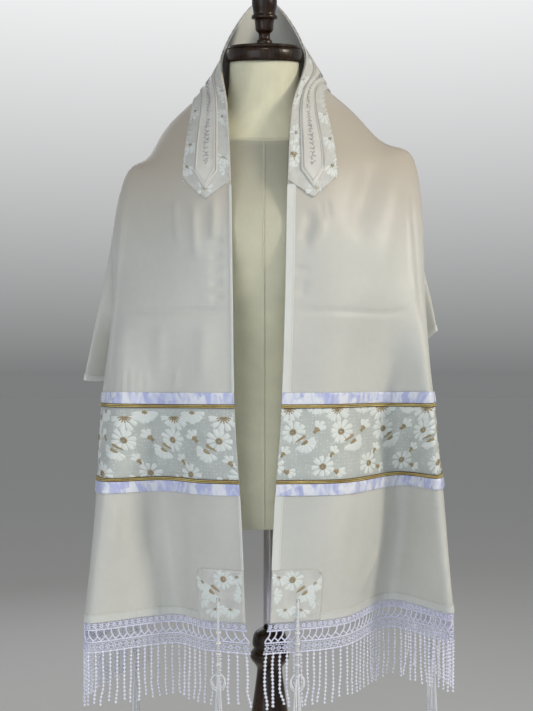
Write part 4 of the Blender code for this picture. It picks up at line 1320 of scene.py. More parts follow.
@dataclass
class Ribbons(ShawlPiece):
    """Satin ribbon and gold braid above and below each floral band.

    Attributes:
        crinkle: How deep the satin's pinches are.
        braid_step: Spacing of the braid's slanted stitches.
    """

    crinkle: dict = field(default_factory=lambda: {Side.LEFT: 0.0016, Side.RIGHT: 0.0007})
    braid_step: float = 0.0016

    def build(self, side: Side) -> list[bpy.types.Object]:
        """Builds the two ribbons and two braids of one end."""
        edges = band_edges()
        made = []
        for kind, k, seed in (("upper", 0, 1), ("lower", 4, 2)):
            made.append(self.satin(side, kind, edges[k], edges[k + 1], seed + side.value))
        for kind, k in (("upper", 1), ("lower", 3)):
            made.append(self.braid(side, kind, edges[k], edges[k + 1]))
        return made

    def satin(self, side: Side, kind: str, start: float, end: float, seed: int) -> bpy.types.Object:
        """Builds one crinkled satin ribbon.

        Args:
            side: The end that it lies on.
            kind: Upper or lower.
            start: Its upper edge, from the centre back.
            end: Its lower edge.
            seed: Seed of its crinkles.

        Returns:
            The ribbon.
        """
        s, w = grid(side.value * spaced(start, end, 0.0022, 0.0006),
                    spaced(-0.0005, CLOTH_WIDTH + 0.0005, 0.0016, 0.0006))
        dice = np.random.default_rng(seed + 20)
        share = (np.abs(s) - start) / (end - start)
        pinch = np.zeros_like(s)
        soft = 2.2 if side is Side.RIGHT else 1.0
        for _ in range(90):
            place, lean = dice.uniform(0, CLOTH_WIDTH), dice.uniform(-0.009, 0.009)
            width, depth = dice.uniform(0.0014, 0.0042) * soft, dice.uniform(-1, 1)
            reach = np.exp(-(((share - dice.uniform(0, 1)) / dice.uniform(0.25, 0.7)) ** 2))
            pinch += depth * np.exp(-(((w - place - lean * share) / width) ** 2)) * reach
        flat = smooth(np.minimum(share, 1 - share) * 9)
        lift = CLOTH_WALL / 2 + 0.0005 + TRIM_WALL / 2 + self.crinkle[side] * (0.5 + np.clip(pinch, -0.9,
                                                                                             1.4)) * (0.35 + 0.65 * flat)
        name = f"satin_ribbon_{kind}_{side.word}"
        return self.shop.put(name, self.panel(name, s, w, lift, TRIM_WALL * 0.7), RIBBON,
                             f"satin_{kind}_{side.word}")

    def braid(self, side: Side, kind: str, start: float, end: float) -> bpy.types.Object:
        """Builds one gold braid: a dark backing, two rows of slanted metal thread, and a cord along each edge."""
        s, w = grid(side.value * spaced(start, end, 0.0014, 0.0004),
                    spaced(-0.0006, CLOTH_WIDTH + 0.0006, 0.006, 0.0006))
        lift = CLOTH_WALL / 2 + 0.0005 + TRIM_WALL / 2
        backing = self.panel("backing", s, w, lift, TRIM_WALL)
        backing.materials.append(BRONZE.material())
        top, middle = lift + TRIM_WALL / 2, (start + end) / 2
        across = np.arange(0.0, CLOTH_WIDTH + 0.001, 0.004)
        meshes = [backing]
        for shift, turn in ((-0.00105, 0.62), (0.00105, -0.62)):
            line = [[(x, middle + shift, top + 0.0003) for x in across]]
            meshes.append(self.drape.dress(grow("braid", line, stitch_tree(), GOLD, Spacing=self.braid_step,
                                                Length=0.0031,
                                                Radius=0.00062, Turn=turn), side))
        cords = [[(x, middle + shift, top) for x in across] for shift in (-0.00245, 0.00245)]
        meshes.append(self.drape.dress(grow("braid_edge", cords, thread_tree(), BRONZE, Radius=0.00038,
                                            Sides=5), side))
        name = f"gold_braid_{kind}_{side.word}"
        return self.shop.put(name, joined(name, meshes), GOLD, f"gold_{kind}_{side.word}")


# Widths of the flower pattern, in metres: as cut, and as eased over the folds of each panel.
PATTERN_WIDTHS = (-0.100, 0.020, 0.084, 0.148, 0.212, 0.600)
EASED_WIDTHS = {
    Side.LEFT: (-0.102, 0.018, 0.088, 0.196, 0.276, 0.761),
    Side.RIGHT: (-0.120, 0.024, 0.100, 0.172, 0.244, 0.680),
}


def eased(width: float, side: Side) -> float:
    """Width of cloth on which a width of a pattern lands: patterns are eased over the folds, as they show."""
    return float(np.interp(width, PATTERN_WIDTHS, EASED_WIDTHS[side]))


def pattern_end(side: Side) -> float:
    """Width of a pattern that lands on the cloth's outer edge."""
    return float(np.interp(CLOTH_WIDTH, EASED_WIDTHS[side], PATTERN_WIDTHS))


@dataclass
class FlowerWork:
    """White petals and brown-gold marks, gathered flat for one piece.

    Attributes:
        lift: Height of the ground over the middle of the cloth.
        rise: How far a petal stands proud of the ground.
    """

    lift: float
    rise: float = 0.0008
    petals: FlatWork = field(default_factory=FlatWork)
    marks: FlatWork = field(default_factory=FlatWork)
    rings: list = field(default_factory=list)
    dice: np.random.Generator = field(default_factory=lambda: np.random.default_rng(11))

    def daisy(self, w: float, d: float, radius: float = 0.0172, count: int = 10, turn: float = 0.0) -> None:
        """Adds a whole flower with a brown-gold ring at its centre."""
        self.fan(w, d, radius, turn, turn + 2 * math.pi * (count - 1) / count, count)
        size = min(0.0030, radius * 0.18)
        self.rings.append([
            (w + size * math.cos(a), d + size * math.sin(a), self.lift + self.rise * 0.7, size / 0.0030)
            for a in np.linspace(0, 2 * math.pi, 13)
        ])

    def fan(self, w: float, d: float, radius: float, start: float, end: float, count: int) -> None:
        """Adds petals round a place from one direction to another."""
        for angle in np.linspace(start, end, count):
            inner = radius * 0.20
            length = radius * self.dice.uniform(0.88, 1.06) - inner
            self.petals.petal((w, d), angle + self.dice.uniform(-0.07, 0.07), inner, length,
                              radius * self.dice.uniform(0.37, 0.45), self.lift,
                              self.rise * self.dice.uniform(0.85, 1.15),
                              0.18, 0.14)

    def bud(self, w: float, d: float, angle: float, size: float = 0.013) -> None:
        """Adds a bud: three petals out of a brown-gold calyx.

        Args:
            w: Place of its calyx across the cloth.
            d: Its place along it.
            angle: Direction that it opens in.
            size: Length of its petals.
        """
        for lean, scale in ((-0.55, 0.9), (0.0, 1.05), (0.55, 0.9)):
            self.petals.petal((w, d), angle + lean, size * 0.22, size * scale, size * 0.50, self.lift,
                              self.rise)
        for lean in (-0.55, 0.0, 0.55):
            self.mark(w, d, angle + lean, -size * 0.32, size * 0.78, size * 0.32)

    def mark(self, w: float, d: float, angle: float, inner: float, length: float, width: float) -> None:
        """Adds one padded brown-gold stitch group, which starts at inner from its place."""
        self.marks.petal((w, d), angle, inner, length, width, self.lift + self.rise * 0.25, self.rise, 0.0,
                         0.0)

    def sprig(self, w: float, d: float, angle: float, size: float, count: int) -> None:
        """Adds a fan of brown-gold stamens round a direction."""
        for lean in np.linspace(-1.1, 1.1, count):
            self.mark(w, d, angle + lean, -size * 0.12, size * self.dice.uniform(0.8, 1.1), size * 0.16)

    def stretch(self, side: Side) -> None:
        """Moves all the work across the cloth, from widths of its pattern to widths of cloth."""
        for run in (self.petals.points, self.marks.points, *self.rings):
            run[:] = [(eased(p[0], side), *p[1:]) for p in run]

    def meshes(self, name: str, w: tuple[float, float], d: tuple[float, float]) -> list[bpy.types.Mesh]:
        """Makes the flat meshes of all that lies between two widths and two distances."""
        made = []
        for work, finish in ((self.petals, PETAL), (self.marks, STAMEN)):
            kept = work.clipped(w, d)
            if kept.faces:
                made.append(kept.mesh(name + finish.name))
                made[-1].materials.append(finish.material())
        rings = [ring for ring in self.rings if all(w[0] <= p[0] <= w[1] and d[0] <= p[1] <= d[1] for p in ring)]
        if rings:
            made.append(grow(name + "_rings", rings, thread_tree(), STAMEN, Radius=0.00155, Sides=6))
        return made


@dataclass
class FloralBands(ShawlPiece):
    """The flowers worked on each floral band.

    Attributes:
        repeat: Length of one repeat across the cloth.
        drop: How far the pattern is moved towards the hem on each side.
    """

    repeat: float = 0.0640
    drop: dict = field(default_factory=lambda: {Side.LEFT: 0.0, Side.RIGHT: 0.0125})

    def build(self, side: Side) -> bpy.types.Object:
        """Works three rows of flowers and buds on one band."""
        edges = band_edges()
        top, bottom = edges[2], edges[3]
        work = FlowerWork(CLOTH_WALL / 2)
        work.dice = np.random.default_rng(11 + side.value)
        start = top + self.drop[side]
        down = math.pi / 2
        for k in range(-1, 9):
            w = k * self.repeat
            work.fan(w + 0.013, start + 0.001, 0.0195, down - 1.5, down + 1.5, 6)
            for angle in np.linspace(down - 1.25, down + 1.25, 7):
                work.mark(w + 0.013, start - 0.001, angle, 0.0010, 0.0092, 0.0021)
            work.fan(w + 0.051, start - 0.008, 0.0180, down - 1.3, down + 1.3, 7)
            for angle in (down - 0.8, down, down + 0.8):
                work.mark(w + 0.051, start - 0.008, angle, -0.001, 0.0058, 0.0028)
            work.daisy(w + 0.020, start + 0.0325, 0.0172, 10, 0.1 * k)
            self.half_flower(work, w + 0.020, start + 0.0325)
            work.bud(w + 0.049, start + 0.0310, -0.95)
            work.daisy(w + 0.061, start + 0.0800, 0.0165, 9, 0.3 + 0.2 * k)
            work.bud(w + 0.0715, start + 0.0640, -1.05, 0.011)
            work.bud(w + 0.0785, start + 0.0865, 0.35, 0.011)
            work.fan(w + 0.004, start + 0.0600, 0.0085, -0.4, 1.6, 3)
        work.stretch(side)
        meshes = work.meshes("band", (0.0006, CLOTH_WIDTH - 0.0006), (top + 0.0003, bottom - 0.0003))
        name = f"band_flowers_{side.word}"
        return self.shop.put(name, joined(name, [self.drape.dress(mesh, side) for mesh in meshes]), PETAL)

    @staticmethod
    def half_flower(work: FlowerWork, w: float, d: float) -> None:
        """Adds the half flower that hangs from a daisy, with its two slanted bars."""
        work.fan(w + 0.0150, d + 0.0145, 0.0155, -0.45, 2.25, 7)
        for shift, long, wide in ((0.0100, 0.0150, 0.0044), (0.0158, 0.0100, 0.0052)):
            work.mark(w + shift, d + shift * 0.95, -0.62, -long / 2, long, wide)


@dataclass
class Neckband(ShawlPiece):
    """The neckband: a puckered floral ground, a satin strip on it, and stitches on the strip.

    Attributes:
        ground_lift: Height of the ground's middle over the cloth.
        strip_lift: The same for the strip.
        strip: Widths of cloth between which the strip lies.
        sprigs: The brown-gold stamens that show, as place across, place along, direction, size and count.
    """

    ground_lift: float = 0.0020
    strip_lift: float = 0.0038
    strip: tuple[float, float] = (0.0180, 0.0540)
    sprigs: dict = field(default_factory=lambda: {
        Side.LEFT: (
            (0.0050, 0.182, 1.3, 0.0080, 3), (0.0055, 0.222, 0.5, 0.0065, 5),
            (0.0100, 0.296, -0.6, 0.0065, 4),
            (0.0070, 0.330, 0.3, 0.0085, 7), (0.0650, 0.280, 1.5, 0.0050, 2), (0.0650, 0.316, 1.2, 0.0060, 3),
            (0.0630, 0.352, 0.9, 0.0068, 4), (0.0400, 0.3815, -1.5, 0.0060, 4)),
        Side.RIGHT: (
            (0.0050, 0.208, 1.3, 0.0070, 3), (0.0090, 0.262, -0.6, 0.0055, 4),
            (0.0100, 0.332, 1.5, 0.0090, 2),
            (0.0620, 0.255, 0.9, 0.0055, 4), (0.0620, 0.315, 1.2, 0.0065, 3), (0.0640, 0.348, 0.9, 0.0065, 4),
            (0.0370, 0.3800, -1.5, 0.0060, 4)),
    })

    def outline(self, low: float, high: float, shoulder: float, tip: float,
                step: float) -> tuple[np.ndarray, np.ndarray]:
        """Places of a band with a point at each end.

        Args:
            low: Its lower width of cloth.
            high: Its upper width of cloth.
            shoulder: Where its points start, from the centre back.
            tip: Where they end.
            step: Size of its cells.

        Returns:
            Rows and columns of places along and across the cloth.
        """
        half = np.concatenate([spaced(0.0, shoulder, step), np.linspace(shoulder, tip, 9)[1:]])
        s, share = grid(np.concatenate([-half[:0:-1], half]),
                        np.linspace(0.0, 1.0, max(7, int((high - low) / step) + 1)))
        middle = (low + high) / 2
        narrow = np.clip((tip - np.abs(s)) / (tip - shoulder), 0.02, 1.0)
        return s, middle + (high - low) * (share - 0.5) * narrow

    def build(self) -> list[bpy.types.Object]:
        """Builds the ground with its sprigs, and the strip with its stitches."""
        s, w = self.outline(0.0, NECKBAND_WIDTH, NECKBAND_SHOULDER, NECKBAND_TIP, 0.0027)
        share = np.linspace(0, 1, w.shape[1])[None, :]
        edge = 1 - smooth(np.minimum(share, 1 - share) * 5.5)
        pucker = np.sin(s * 2 * math.pi / 0.0092 + 2 * np.sin(s * 41)) * edge * 0.0009
        crown = 0.0006 * np.sin(math.pi * share)
        ground = self.panel("ground", s, w, self.ground_lift + pucker + crown, TRIM_WALL)
        pieces = [self.shop.put("neckband_floral", ground, FLORAL, "neckband_ground")]
        s, w = self.outline(*self.strip, STRIP_SHOULDER, STRIP_TIP, 0.0030)
        share = np.linspace(0, 1, w.shape[1])[None, :]
        crown = 0.0007 * np.sqrt(np.clip(np.sin(math.pi * share), 0, 1))
        swell = 0.00025 * np.sin(s * 95 + 3 * share) * np.sin(math.pi * share)
        strip = self.panel("strip", s, w, self.strip_lift + crown + swell, TRIM_WALL)
        pieces.append(self.shop.put("neckband_satin", strip, PEARL, "neckband_strip"))
        pieces += [self.flowers(side) for side in Side]
        pieces += [self.stitching(side) for side in Side]
        return pieces

    def flowers(self, side: Side) -> bpy.types.Object:
        """Works uneven sprigs on the ground's two borders and its point, on one half of the band."""
        work = FlowerWork(self.ground_lift + TRIM_WALL / 2 + 0.0002, 0.0005)
        work.dice = np.random.default_rng(15 + side.value)
        for d in np.arange(0.012, 0.160, 0.038):
            for middle, place in ((0.0070, d), (0.0640, d + 0.019)):
                work.fan(middle, place, 0.0150, 1.9 * place * 40, 1.9 * place * 40 + 4.2, 7)
                work.sprig(middle, place, 40 * place, 0.0055, 4)
        for w, d, angle, size, count in self.sprigs[side]:
            away = 1 if w > 0.036 else -1
            work.fan(w + 0.001 * away, d, 0.0165, angle - 1.8, angle + 1.9, 7)
            work.fan(w + 0.004 * away, d + 0.019, 0.0120, angle - 2.6, angle - 0.6, 4)
            work.sprig(w, d, angle, size, count)
            if count > 6:
                work.sprig(w, d, angle + math.pi, size, 5)
        meshes = work.meshes("sprigs", (0.0008, NECKBAND_WIDTH - 0.0008), (0.0, NECKBAND_SHOULDER + 0.004))
        tip = work.meshes("tip", (0.026, 0.046), (NECKBAND_SHOULDER + 0.004, NECKBAND_TIP - 0.004))
        name = f"neckband_flowers_{side.word}"
        return self.shop.put(name, joined(name, [self.drape.dress(mesh, side) for mesh in (*meshes, *tip)]),
                             PETAL)

    def border(self, inset: float, lift: float) -> Run:
        """The strip's outline on one half of the band, moved in by an inset."""
        low, high = self.strip[0] + inset, self.strip[1] - inset
        middle = sum(self.strip) / 2
        tip = STRIP_TIP - inset * 1.7
        shoulder = STRIP_SHOULDER - inset * 0.4
        down = [(low, d, lift) for d in np.linspace(0.0, shoulder, 60)]
        up = [(high, d, lift) for d in np.linspace(shoulder, 0.0, 60)]
        return [*down, (middle, tip, lift), *up]

    def stitching(self, side: Side) -> bpy.types.Object:
        """Works the double border cord with a line of painted shade between its cords, and the scrolling stems of one
        half of the strip.
        """
        lift = self.strip_lift + TRIM_WALL / 2 + 0.0007
        cords = [self.border(0.0012, lift - 0.0003), self.border(0.0050, lift + 0.0001)]
        cords.append([(0.0004, d, self.ground_lift + TRIM_WALL / 2) for d in np.linspace(0.0,
                                                                                         NECKBAND_SHOULDER, 70)])
        cords.append([(NECKBAND_WIDTH - 0.0006, d, self.ground_lift + TRIM_WALL / 2)
                      for d in np.linspace(0.0, NECKBAND_SHOULDER, 70)])
        # A thin grey thread between the two border cords is painted shade.
        shade = [self.border(0.0031, lift - 0.0002)]
        dice = np.random.default_rng(70 + side.value)
        stems: list[Run] = []
        middle = sum(self.strip) / 2 - 0.0006
        height = lift + 0.0003
        d = 0.006
        while d < STRIP_SHOULDER - 0.006:
            tall, way = dice.uniform(0.0034, 0.0048), dice.choice((-1, 1))
            curl, slant = dice.uniform(0.0012, 0.0026), dice.uniform(-0.0010, 0.0014)
            stems.append([
                (middle + tall * (1 - 2 * t),
                 d + slant * t + way * curl * math.sin(math.pi * t) ** 2 * math.cos(5.5 * t), height,
                 0.6 + 0.7 * math.sin(math.pi * t))
                for t in np.linspace(0, 1, 12)
            ])
            turn = dice.uniform(0, 2 * math.pi)
            place = middle + dice.uniform(-0.6, 0.6) * tall
            stems.append([
                (place + 0.0013 * math.cos(turn + a), d + 0.0028 + 0.0013 * math.sin(turn + a), height, 0.9)
                for a in np.linspace(0, 4.4, 9)
            ])
            d += dice.uniform(0.0056, 0.0078)
        made = [
            grow("border", cords, thread_tree(), PEARL, Radius=0.00070, Sides=6),
            grow("shade", shade, thread_tree(), GREY_THREAD, Radius=0.00026, Sides=4),
            grow("scroll", stems, thread_tree(), GREY_THREAD, Radius=0.00042, Sides=5),
        ]
        name = f"neckband_stitches_{side.word}"
        return self.shop.put(name, joined(name, [self.drape.dress(mesh, side) for mesh in made]), GREY_THREAD)


@dataclass
class CornerPatches(ShawlPiece):
    """The floral squares on the corners, with puckered sewn edges and an eyelet each."""

    lift: float = 0.0021
    corner: float = 0.009

    def build(self, side: Side, inner: bool) -> bpy.types.Object:
        """Builds one patch.

        Args:
            side: The end that it lies on.
            inner: Whether it is the corner at the front edge.

        Returns:
            The patch.
        """
        place = "inner" if inner else "outer"
        low = -0.0006 if inner else CLOTH_WIDTH - PATCH_SIDE
        high = PATCH_SIDE if inner else CLOTH_WIDTH + 0.0006
        top, foot = HALF_LENGTH - PATCH_SIDE, HALF_LENGTH + 0.0003
        rows, share = grid(spaced(0.0, 1.0, 0.04), spaced(0.0, 1.0, 0.04))
        d = top + (foot - top) * rows
        w = low + (high - low) * share
        inward = share if inner else 1 - share
        pull = self.corner * np.clip(1 - rows * 5, 0, 1) ** 2 * np.clip(inward * 5 - 4, 0, 1) ** 2
        d, w = d + pull * 0.6, w - pull * 0.6 * (1 if inner else -1)
        near = np.minimum(np.minimum(rows, 1 - rows), np.minimum(share, 1 - share))
        edge = 1 - smooth(near * 9)
        pucker = (np.sin(w * 2 * math.pi / 0.0085 + 1.3) + np.sin(d * 2 * math.pi / 0.0090)) * edge * 0.0004
        lift = self.lift + 0.0004 * smooth(near * 10) + pucker
        cloth = self.panel("patch", side.value * d, w, lift, TRIM_WALL)
        cloth.materials.append(FLORAL.material())
        work = FlowerWork(self.lift + TRIM_WALL / 2 + 0.0003, 0.0006)
        work.dice = np.random.default_rng(31 + side.value + 3 * inner)
        turn = 1 if inner else -1
        base = 0.0 if inner else CLOTH_WIDTH

        def at(x: float) -> float:
            """A place across the cloth, from the patch's own outer edge."""
            return base + turn * x

        work.daisy(at(0.029), top + 0.013, 0.0160, 10, 0.3)
        FloralBands.half_flower(work, at(0.031) if inner else at(0.047), top + 0.017)
        for x, d, angle in ((0.010, 0.008, 1.9), (0.020, 0.053, 1.4), (0.043, 0.054, 1.8),
                            (0.060, 0.018, 0.9)):
            work.fan(at(x), top + d, 0.0150, angle - 1.3, angle + 1.5, 6)
            work.sprig(at(x), top + d, angle, 0.0052, 4)
        work.fan(at(0.002), top + 0.034, 0.0140, -1.0, 1.0, 5)
        work.fan(at(0.064), top + 0.044, 0.0130, 1.9, 4.2, 5)
        meshes = work.meshes("patch", (low + 0.002, high - 0.002), (top + 0.002, foot - 0.002))
        inset = 0.0022
        ring = [(low + inset, foot - inset), (low + inset, top + inset), (high - inset, top + inset),
                (high - inset, foot - inset)]
        points = [(a[0] + (b[0] - a[0]) * t, a[1] + (b[1] - a[1]) * t, self.lift + TRIM_WALL / 2 + 0.0005)
                  for a, b in zip(ring, [*ring[1:], ring[0]]) for t in np.linspace(0, 1, 20, endpoint=False)]
        seam = grow("patch_stitches", [points], stitch_tree(), YARN, Spacing=0.0024, Length=0.0019,
                    Radius=0.0004, Turn=0.5)
        meshes.append(seam)
        name = f"patch_{side.word}_{place}"
        return self.shop.put(name,
                             joined(name, [cloth, *[self.drape.dress(mesh, side) for mesh in meshes]]),
                             FLORAL,
                             f"corner_patch_{side.word}_{place}")


def flare(mesh: bpy.types.Mesh) -> None:
    """Lets the lace and the fringe of a flat mesh swing out at the front edge, the lower the further."""
    for vertex in mesh.vertices:
        below = max(0.0, vertex.co.y - HALF_LENGTH) / 0.0415
        vertex.co.x -= 0.0075 * math.exp(-max(vertex.co.x, 0.0) / 0.030) * min(below, 1.25)


@dataclass
class LaceTrim(ShawlPiece):
    """The crocheted lace below each hem: cords, ladder bars, rows of small square holes and round flower blocks.

    Attributes:
        repeats: Number of ladder bars.
        blocks: Number of flower blocks in a row.
        squares: Number of small squares in a row.
        cords: How far below the hem its three thick cords lie.
    """

    repeats: int = 45
    blocks: int = 53
    squares: int = 112
    cords: tuple[float, float, float] = (0.0108, 0.0272, 0.0415)

    def build(self, side: Side) -> bpy.types.Object:
        """Builds the lace of one end."""
        hem, end = HALF_LENGTH, pattern_end(side)
        upper, lower, foot = self.cords
        across = np.linspace(0.0, end, 160)
        heavy = [[(x, hem + drop, 0.0) for x in across] for drop in self.cords]
        light = [[(x, hem + drop, 0.0) for x in across] for drop in (0.0007, 0.0028, upper - 0.0024,
                                                                     lower + 0.0030, foot - 0.0032)]
        posts: list[Run] = []
        for x in np.linspace(0.0010, end - 0.0010, self.squares):
            for near, far in ((0.0007, 0.0028), (upper - 0.0024, upper), (lower, lower + 0.0030),
                              (foot - 0.0032, foot)):
                posts.append([(x, hem + near, 0.0), (x, hem + far, 0.0)])
        pitch = end / self.blocks
        dots = []
        for k in range(self.blocks):
            for middle, size in ((0.0056, 0.0019), ((lower + foot) / 2, 0.0023)):
                x, y = (k + 0.5) * pitch, hem + middle
                for turn in range(6):
                    angle = turn * math.pi / 3 + 0.26
                    dx, dy = size * math.cos(angle), size * math.sin(angle)
                    dots.append([(x + dx - 0.0001, y + dy, 0.0), (x + dx + 0.0001, y + dy, 0.0)])
                posts.append([(x - pitch / 2, y, 0.0), (x + pitch / 2, y, 0.0)])
        meshes = [
            grow("heavy", heavy, thread_tree(), LACE, Radius=0.00115, Sides=5),
            grow("light", light, thread_tree(), LACE, Radius=0.00044, Sides=4),
            grow("posts", posts, thread_tree(), LACE, Radius=0.00044, Sides=4),
            grow("bars", self.ladder(hem, end), thread_tree(), LACE, Radius=0.00105, Sides=5),
            grow("blocks", dots, bead_tree(), LACE, Spacing=0.01, Radius=0.00112, Uneven=0.12, Seed=5),
        ]
        for mesh in meshes:
            for vertex in mesh.vertices:
                vertex.co.x = eased(vertex.co.x, side)
            flare(mesh)
        name = f"lace_trim_{side.word}"
        return self.shop.put(name, joined(name, [self.drape.dress(mesh, side) for mesh in meshes]), LACE,
                             f"lace_{side.word}")

    def ladder(self, hem: float, end: float) -> list[Run]:
        """The bars of the windows: each bends aside below its middle and throws a thin strut the other way."""
        pitch = end / self.repeats
        upper, lower = self.cords[:2]
        tall = lower - upper
        made = []
        for k in range(self.repeats + 1):
            x = k * pitch + 0.001
            bar = [(x + 0.0036 * (1 - 1.95 * smooth(np.array((t - 0.25) / 0.9))), hem + upper + tall * t,
                    0.0, 0.85 + 0.35 * t)
                   for t in np.linspace(0, 1, 9)]
            strut = [(x + 0.0017 + 0.0052 * t, hem + upper + tall * (0.56 + 0.32 * t), 0.0,
                      0.62) for t in (0.0, 0.35, 0.7, 1.0)]
            for run in (bar, strut):
                made.append([(float(np.clip(p[0], 0.0, end)), *p[1:]) for p in run])
        return made


@dataclass
class BeadedFringe(ShawlPiece):
    """The strings of small wound beads that hang from the lace.

    Attributes:
        strings: Number of strings at each end.
        length: Usual length of a string.
        bead: Radius of a bead.
        spacing: Distance between the middles of two beads.
    """

    strings: int = 47
    length: float = 0.0700
    bead: float = 0.00205
    spacing: float = 0.0051

    def build(self, side: Side) -> bpy.types.Object:
        """Builds the fringe of one end."""
        dice = np.random.default_rng(40 + side.value)
        top = HALF_LENGTH + 0.0415
        pitch = pattern_end(side) / self.strings
        runs = []
        for k in range(self.strings):
            x = eased((k + 0.5) * pitch, side)
            long = self.length * dice.uniform(0.95, 1.05) + 0.0015
            wave, phase = dice.uniform(0.0003, 0.0011), dice.uniform(0, 6.28)
            kick, lean = 0.0030 * math.sin(0.42 * k + side.value) + dice.normal(0, 0.0011), dice.normal(0,
                                                                                                        0.0008)
            depth = dice.normal(0, 0.0012)
            run = []
            for t in np.linspace(0, 1, 24):
                bend = kick * smooth(np.array((t - 0.68) / 0.32))
                place = x + lean * t + wave * math.sin(phase + 9 * t) * t + float(bend)
                run.append((float(np.clip(place, 0.001, CLOTH_WIDTH - 0.001)), top + long * t, depth * t))
            runs.append(run)
        meshes = [
            grow("cores", runs, thread_tree(), LACE, Radius=0.00070, Sides=5),
            grow("beads", runs, bead_tree(), BEAD, Spacing=self.spacing, Radius=self.bead, Uneven=0.14,
                 Seed=9),
        ]
        for mesh in meshes:
            flare(mesh)
        name = f"beaded_fringe_{side.word}"
        return self.shop.put(name, joined(name, [self.drape.dress(mesh, side) for mesh in meshes]), BEAD,
                             f"fringe_{side.word}")


@dataclass
class CornerTassels(ShawlPiece):
    """The tzitzit: cords through an eyelet in each corner, wound and knotted, with eight strands below."""

    inset: float = 0.038
    top: float = HALF_LENGTH - 0.030
    head: float = 0.105
    strand: float = 0.175
    lift: float = 0.0050

    def build(self, side: Side, inner: bool) -> bpy.types.Object:
        """Builds one tassel.

        Args:
            side: The end that it hangs from.
            inner: Whether it is the one at the front edge.

        Returns:
            The tassel.
        """
        w = self.inset if inner else CLOTH_WIDTH - self.inset
        dice = np.random.default_rng(60 + side.value + 5 * inner)
        foot = self.top + self.head
        cords: list[Run] = []
        for phase in (0.0, math.pi):
            cords.append([
                (w + 0.0012 * math.cos(phase + 34 * t), self.top + 0.062 * t,
                 self.lift * min(1.0, 0.25 + 3 * t) + 0.0011 * math.sin(phase + 34 * t))
                for t in np.linspace(0, 1, 60)
            ])
        wound: list[Run] = [[
            (w + 0.0020 * math.cos(150 * t), self.top + 0.046 + 0.056 * t,
             self.lift + 0.0020 * math.sin(150 * t))
            for t in np.linspace(0, 1, 330)
        ]]
        knots = []
        for share in (0.42, 0.56, 0.70, 0.84, 0.985):
            d = self.top + self.head * share
            for lean in (-1, 1):
                knots.append([
                    (w + 0.0031 * math.cos(a), d + 0.0010 * lean * math.sin(a + 0.6),
                     self.lift + 0.0031 * math.sin(a))
                    for a in np.linspace(0, 2 * math.pi, 13)
                ])
        loops = []
        for way in (-1, 1):
            for grown in (1.0, 0.86):
                loops.append([
                    (w + way * 0.0100 * grown * math.sin(a),
                     foot - 0.004 + 0.0120 * grown * (1 - math.cos(a)), self.lift + 0.0008 * way)
                    for a in np.linspace(0, math.pi, 18)
                ])
        strands = []
        for k in range(8):
            angle = 2 * math.pi * (k + 0.5) / 8
            out_w, out_z = 0.0052 * math.cos(angle), 0.0022 * math.sin(angle)
            long = self.strand * dice.uniform(0.86, 1.0)
            wave, phase = dice.uniform(0.0004, 0.0014), dice.uniform(0, 6.28)
            strands.append([
                (w + 0.0018 * math.cos(angle) + out_w * min(1,
                                                            2.2 * t) + wave * math.sin(phase + 11 * t) * t,
                                                            foot + long * t,
                 self.lift + out_z * min(1, 2 * t) + 0.0008 * math.sin(2 * phase + 8 * t) * t)
                for t in np.linspace(0, 1, 30)
            ])
        hole = [[(w + 0.0024 * math.cos(a), self.top + 0.0024 * math.sin(a), 0.0030) for a in np.linspace(0,
                                                                                                          2 * math.pi, 13)]]
        meshes = [
            grow("cords", cords, thread_tree(), YARN, Radius=0.00100, Sides=7),
            grow("wound", wound, thread_tree(), YARN, Radius=0.00062, Sides=5),
            grow("knots", knots, thread_tree(), YARN, Radius=0.00105, Sides=6),
            grow("loops", [*loops, *strands], thread_tree(), YARN, Radius=0.00085, Sides=6),
            grow("hole", hole, thread_tree(), GREY_THREAD, Radius=0.0006, Sides=5),
        ]
        place = "inner" if inner else "outer"
        name = f"tassel_{side.word}_{place}"
        return self.shop.put(name, joined(name, [self.drape.dress(mesh, side) for mesh in meshes]), YARN,
                             f"tzitzit_{side.word}_{place}")


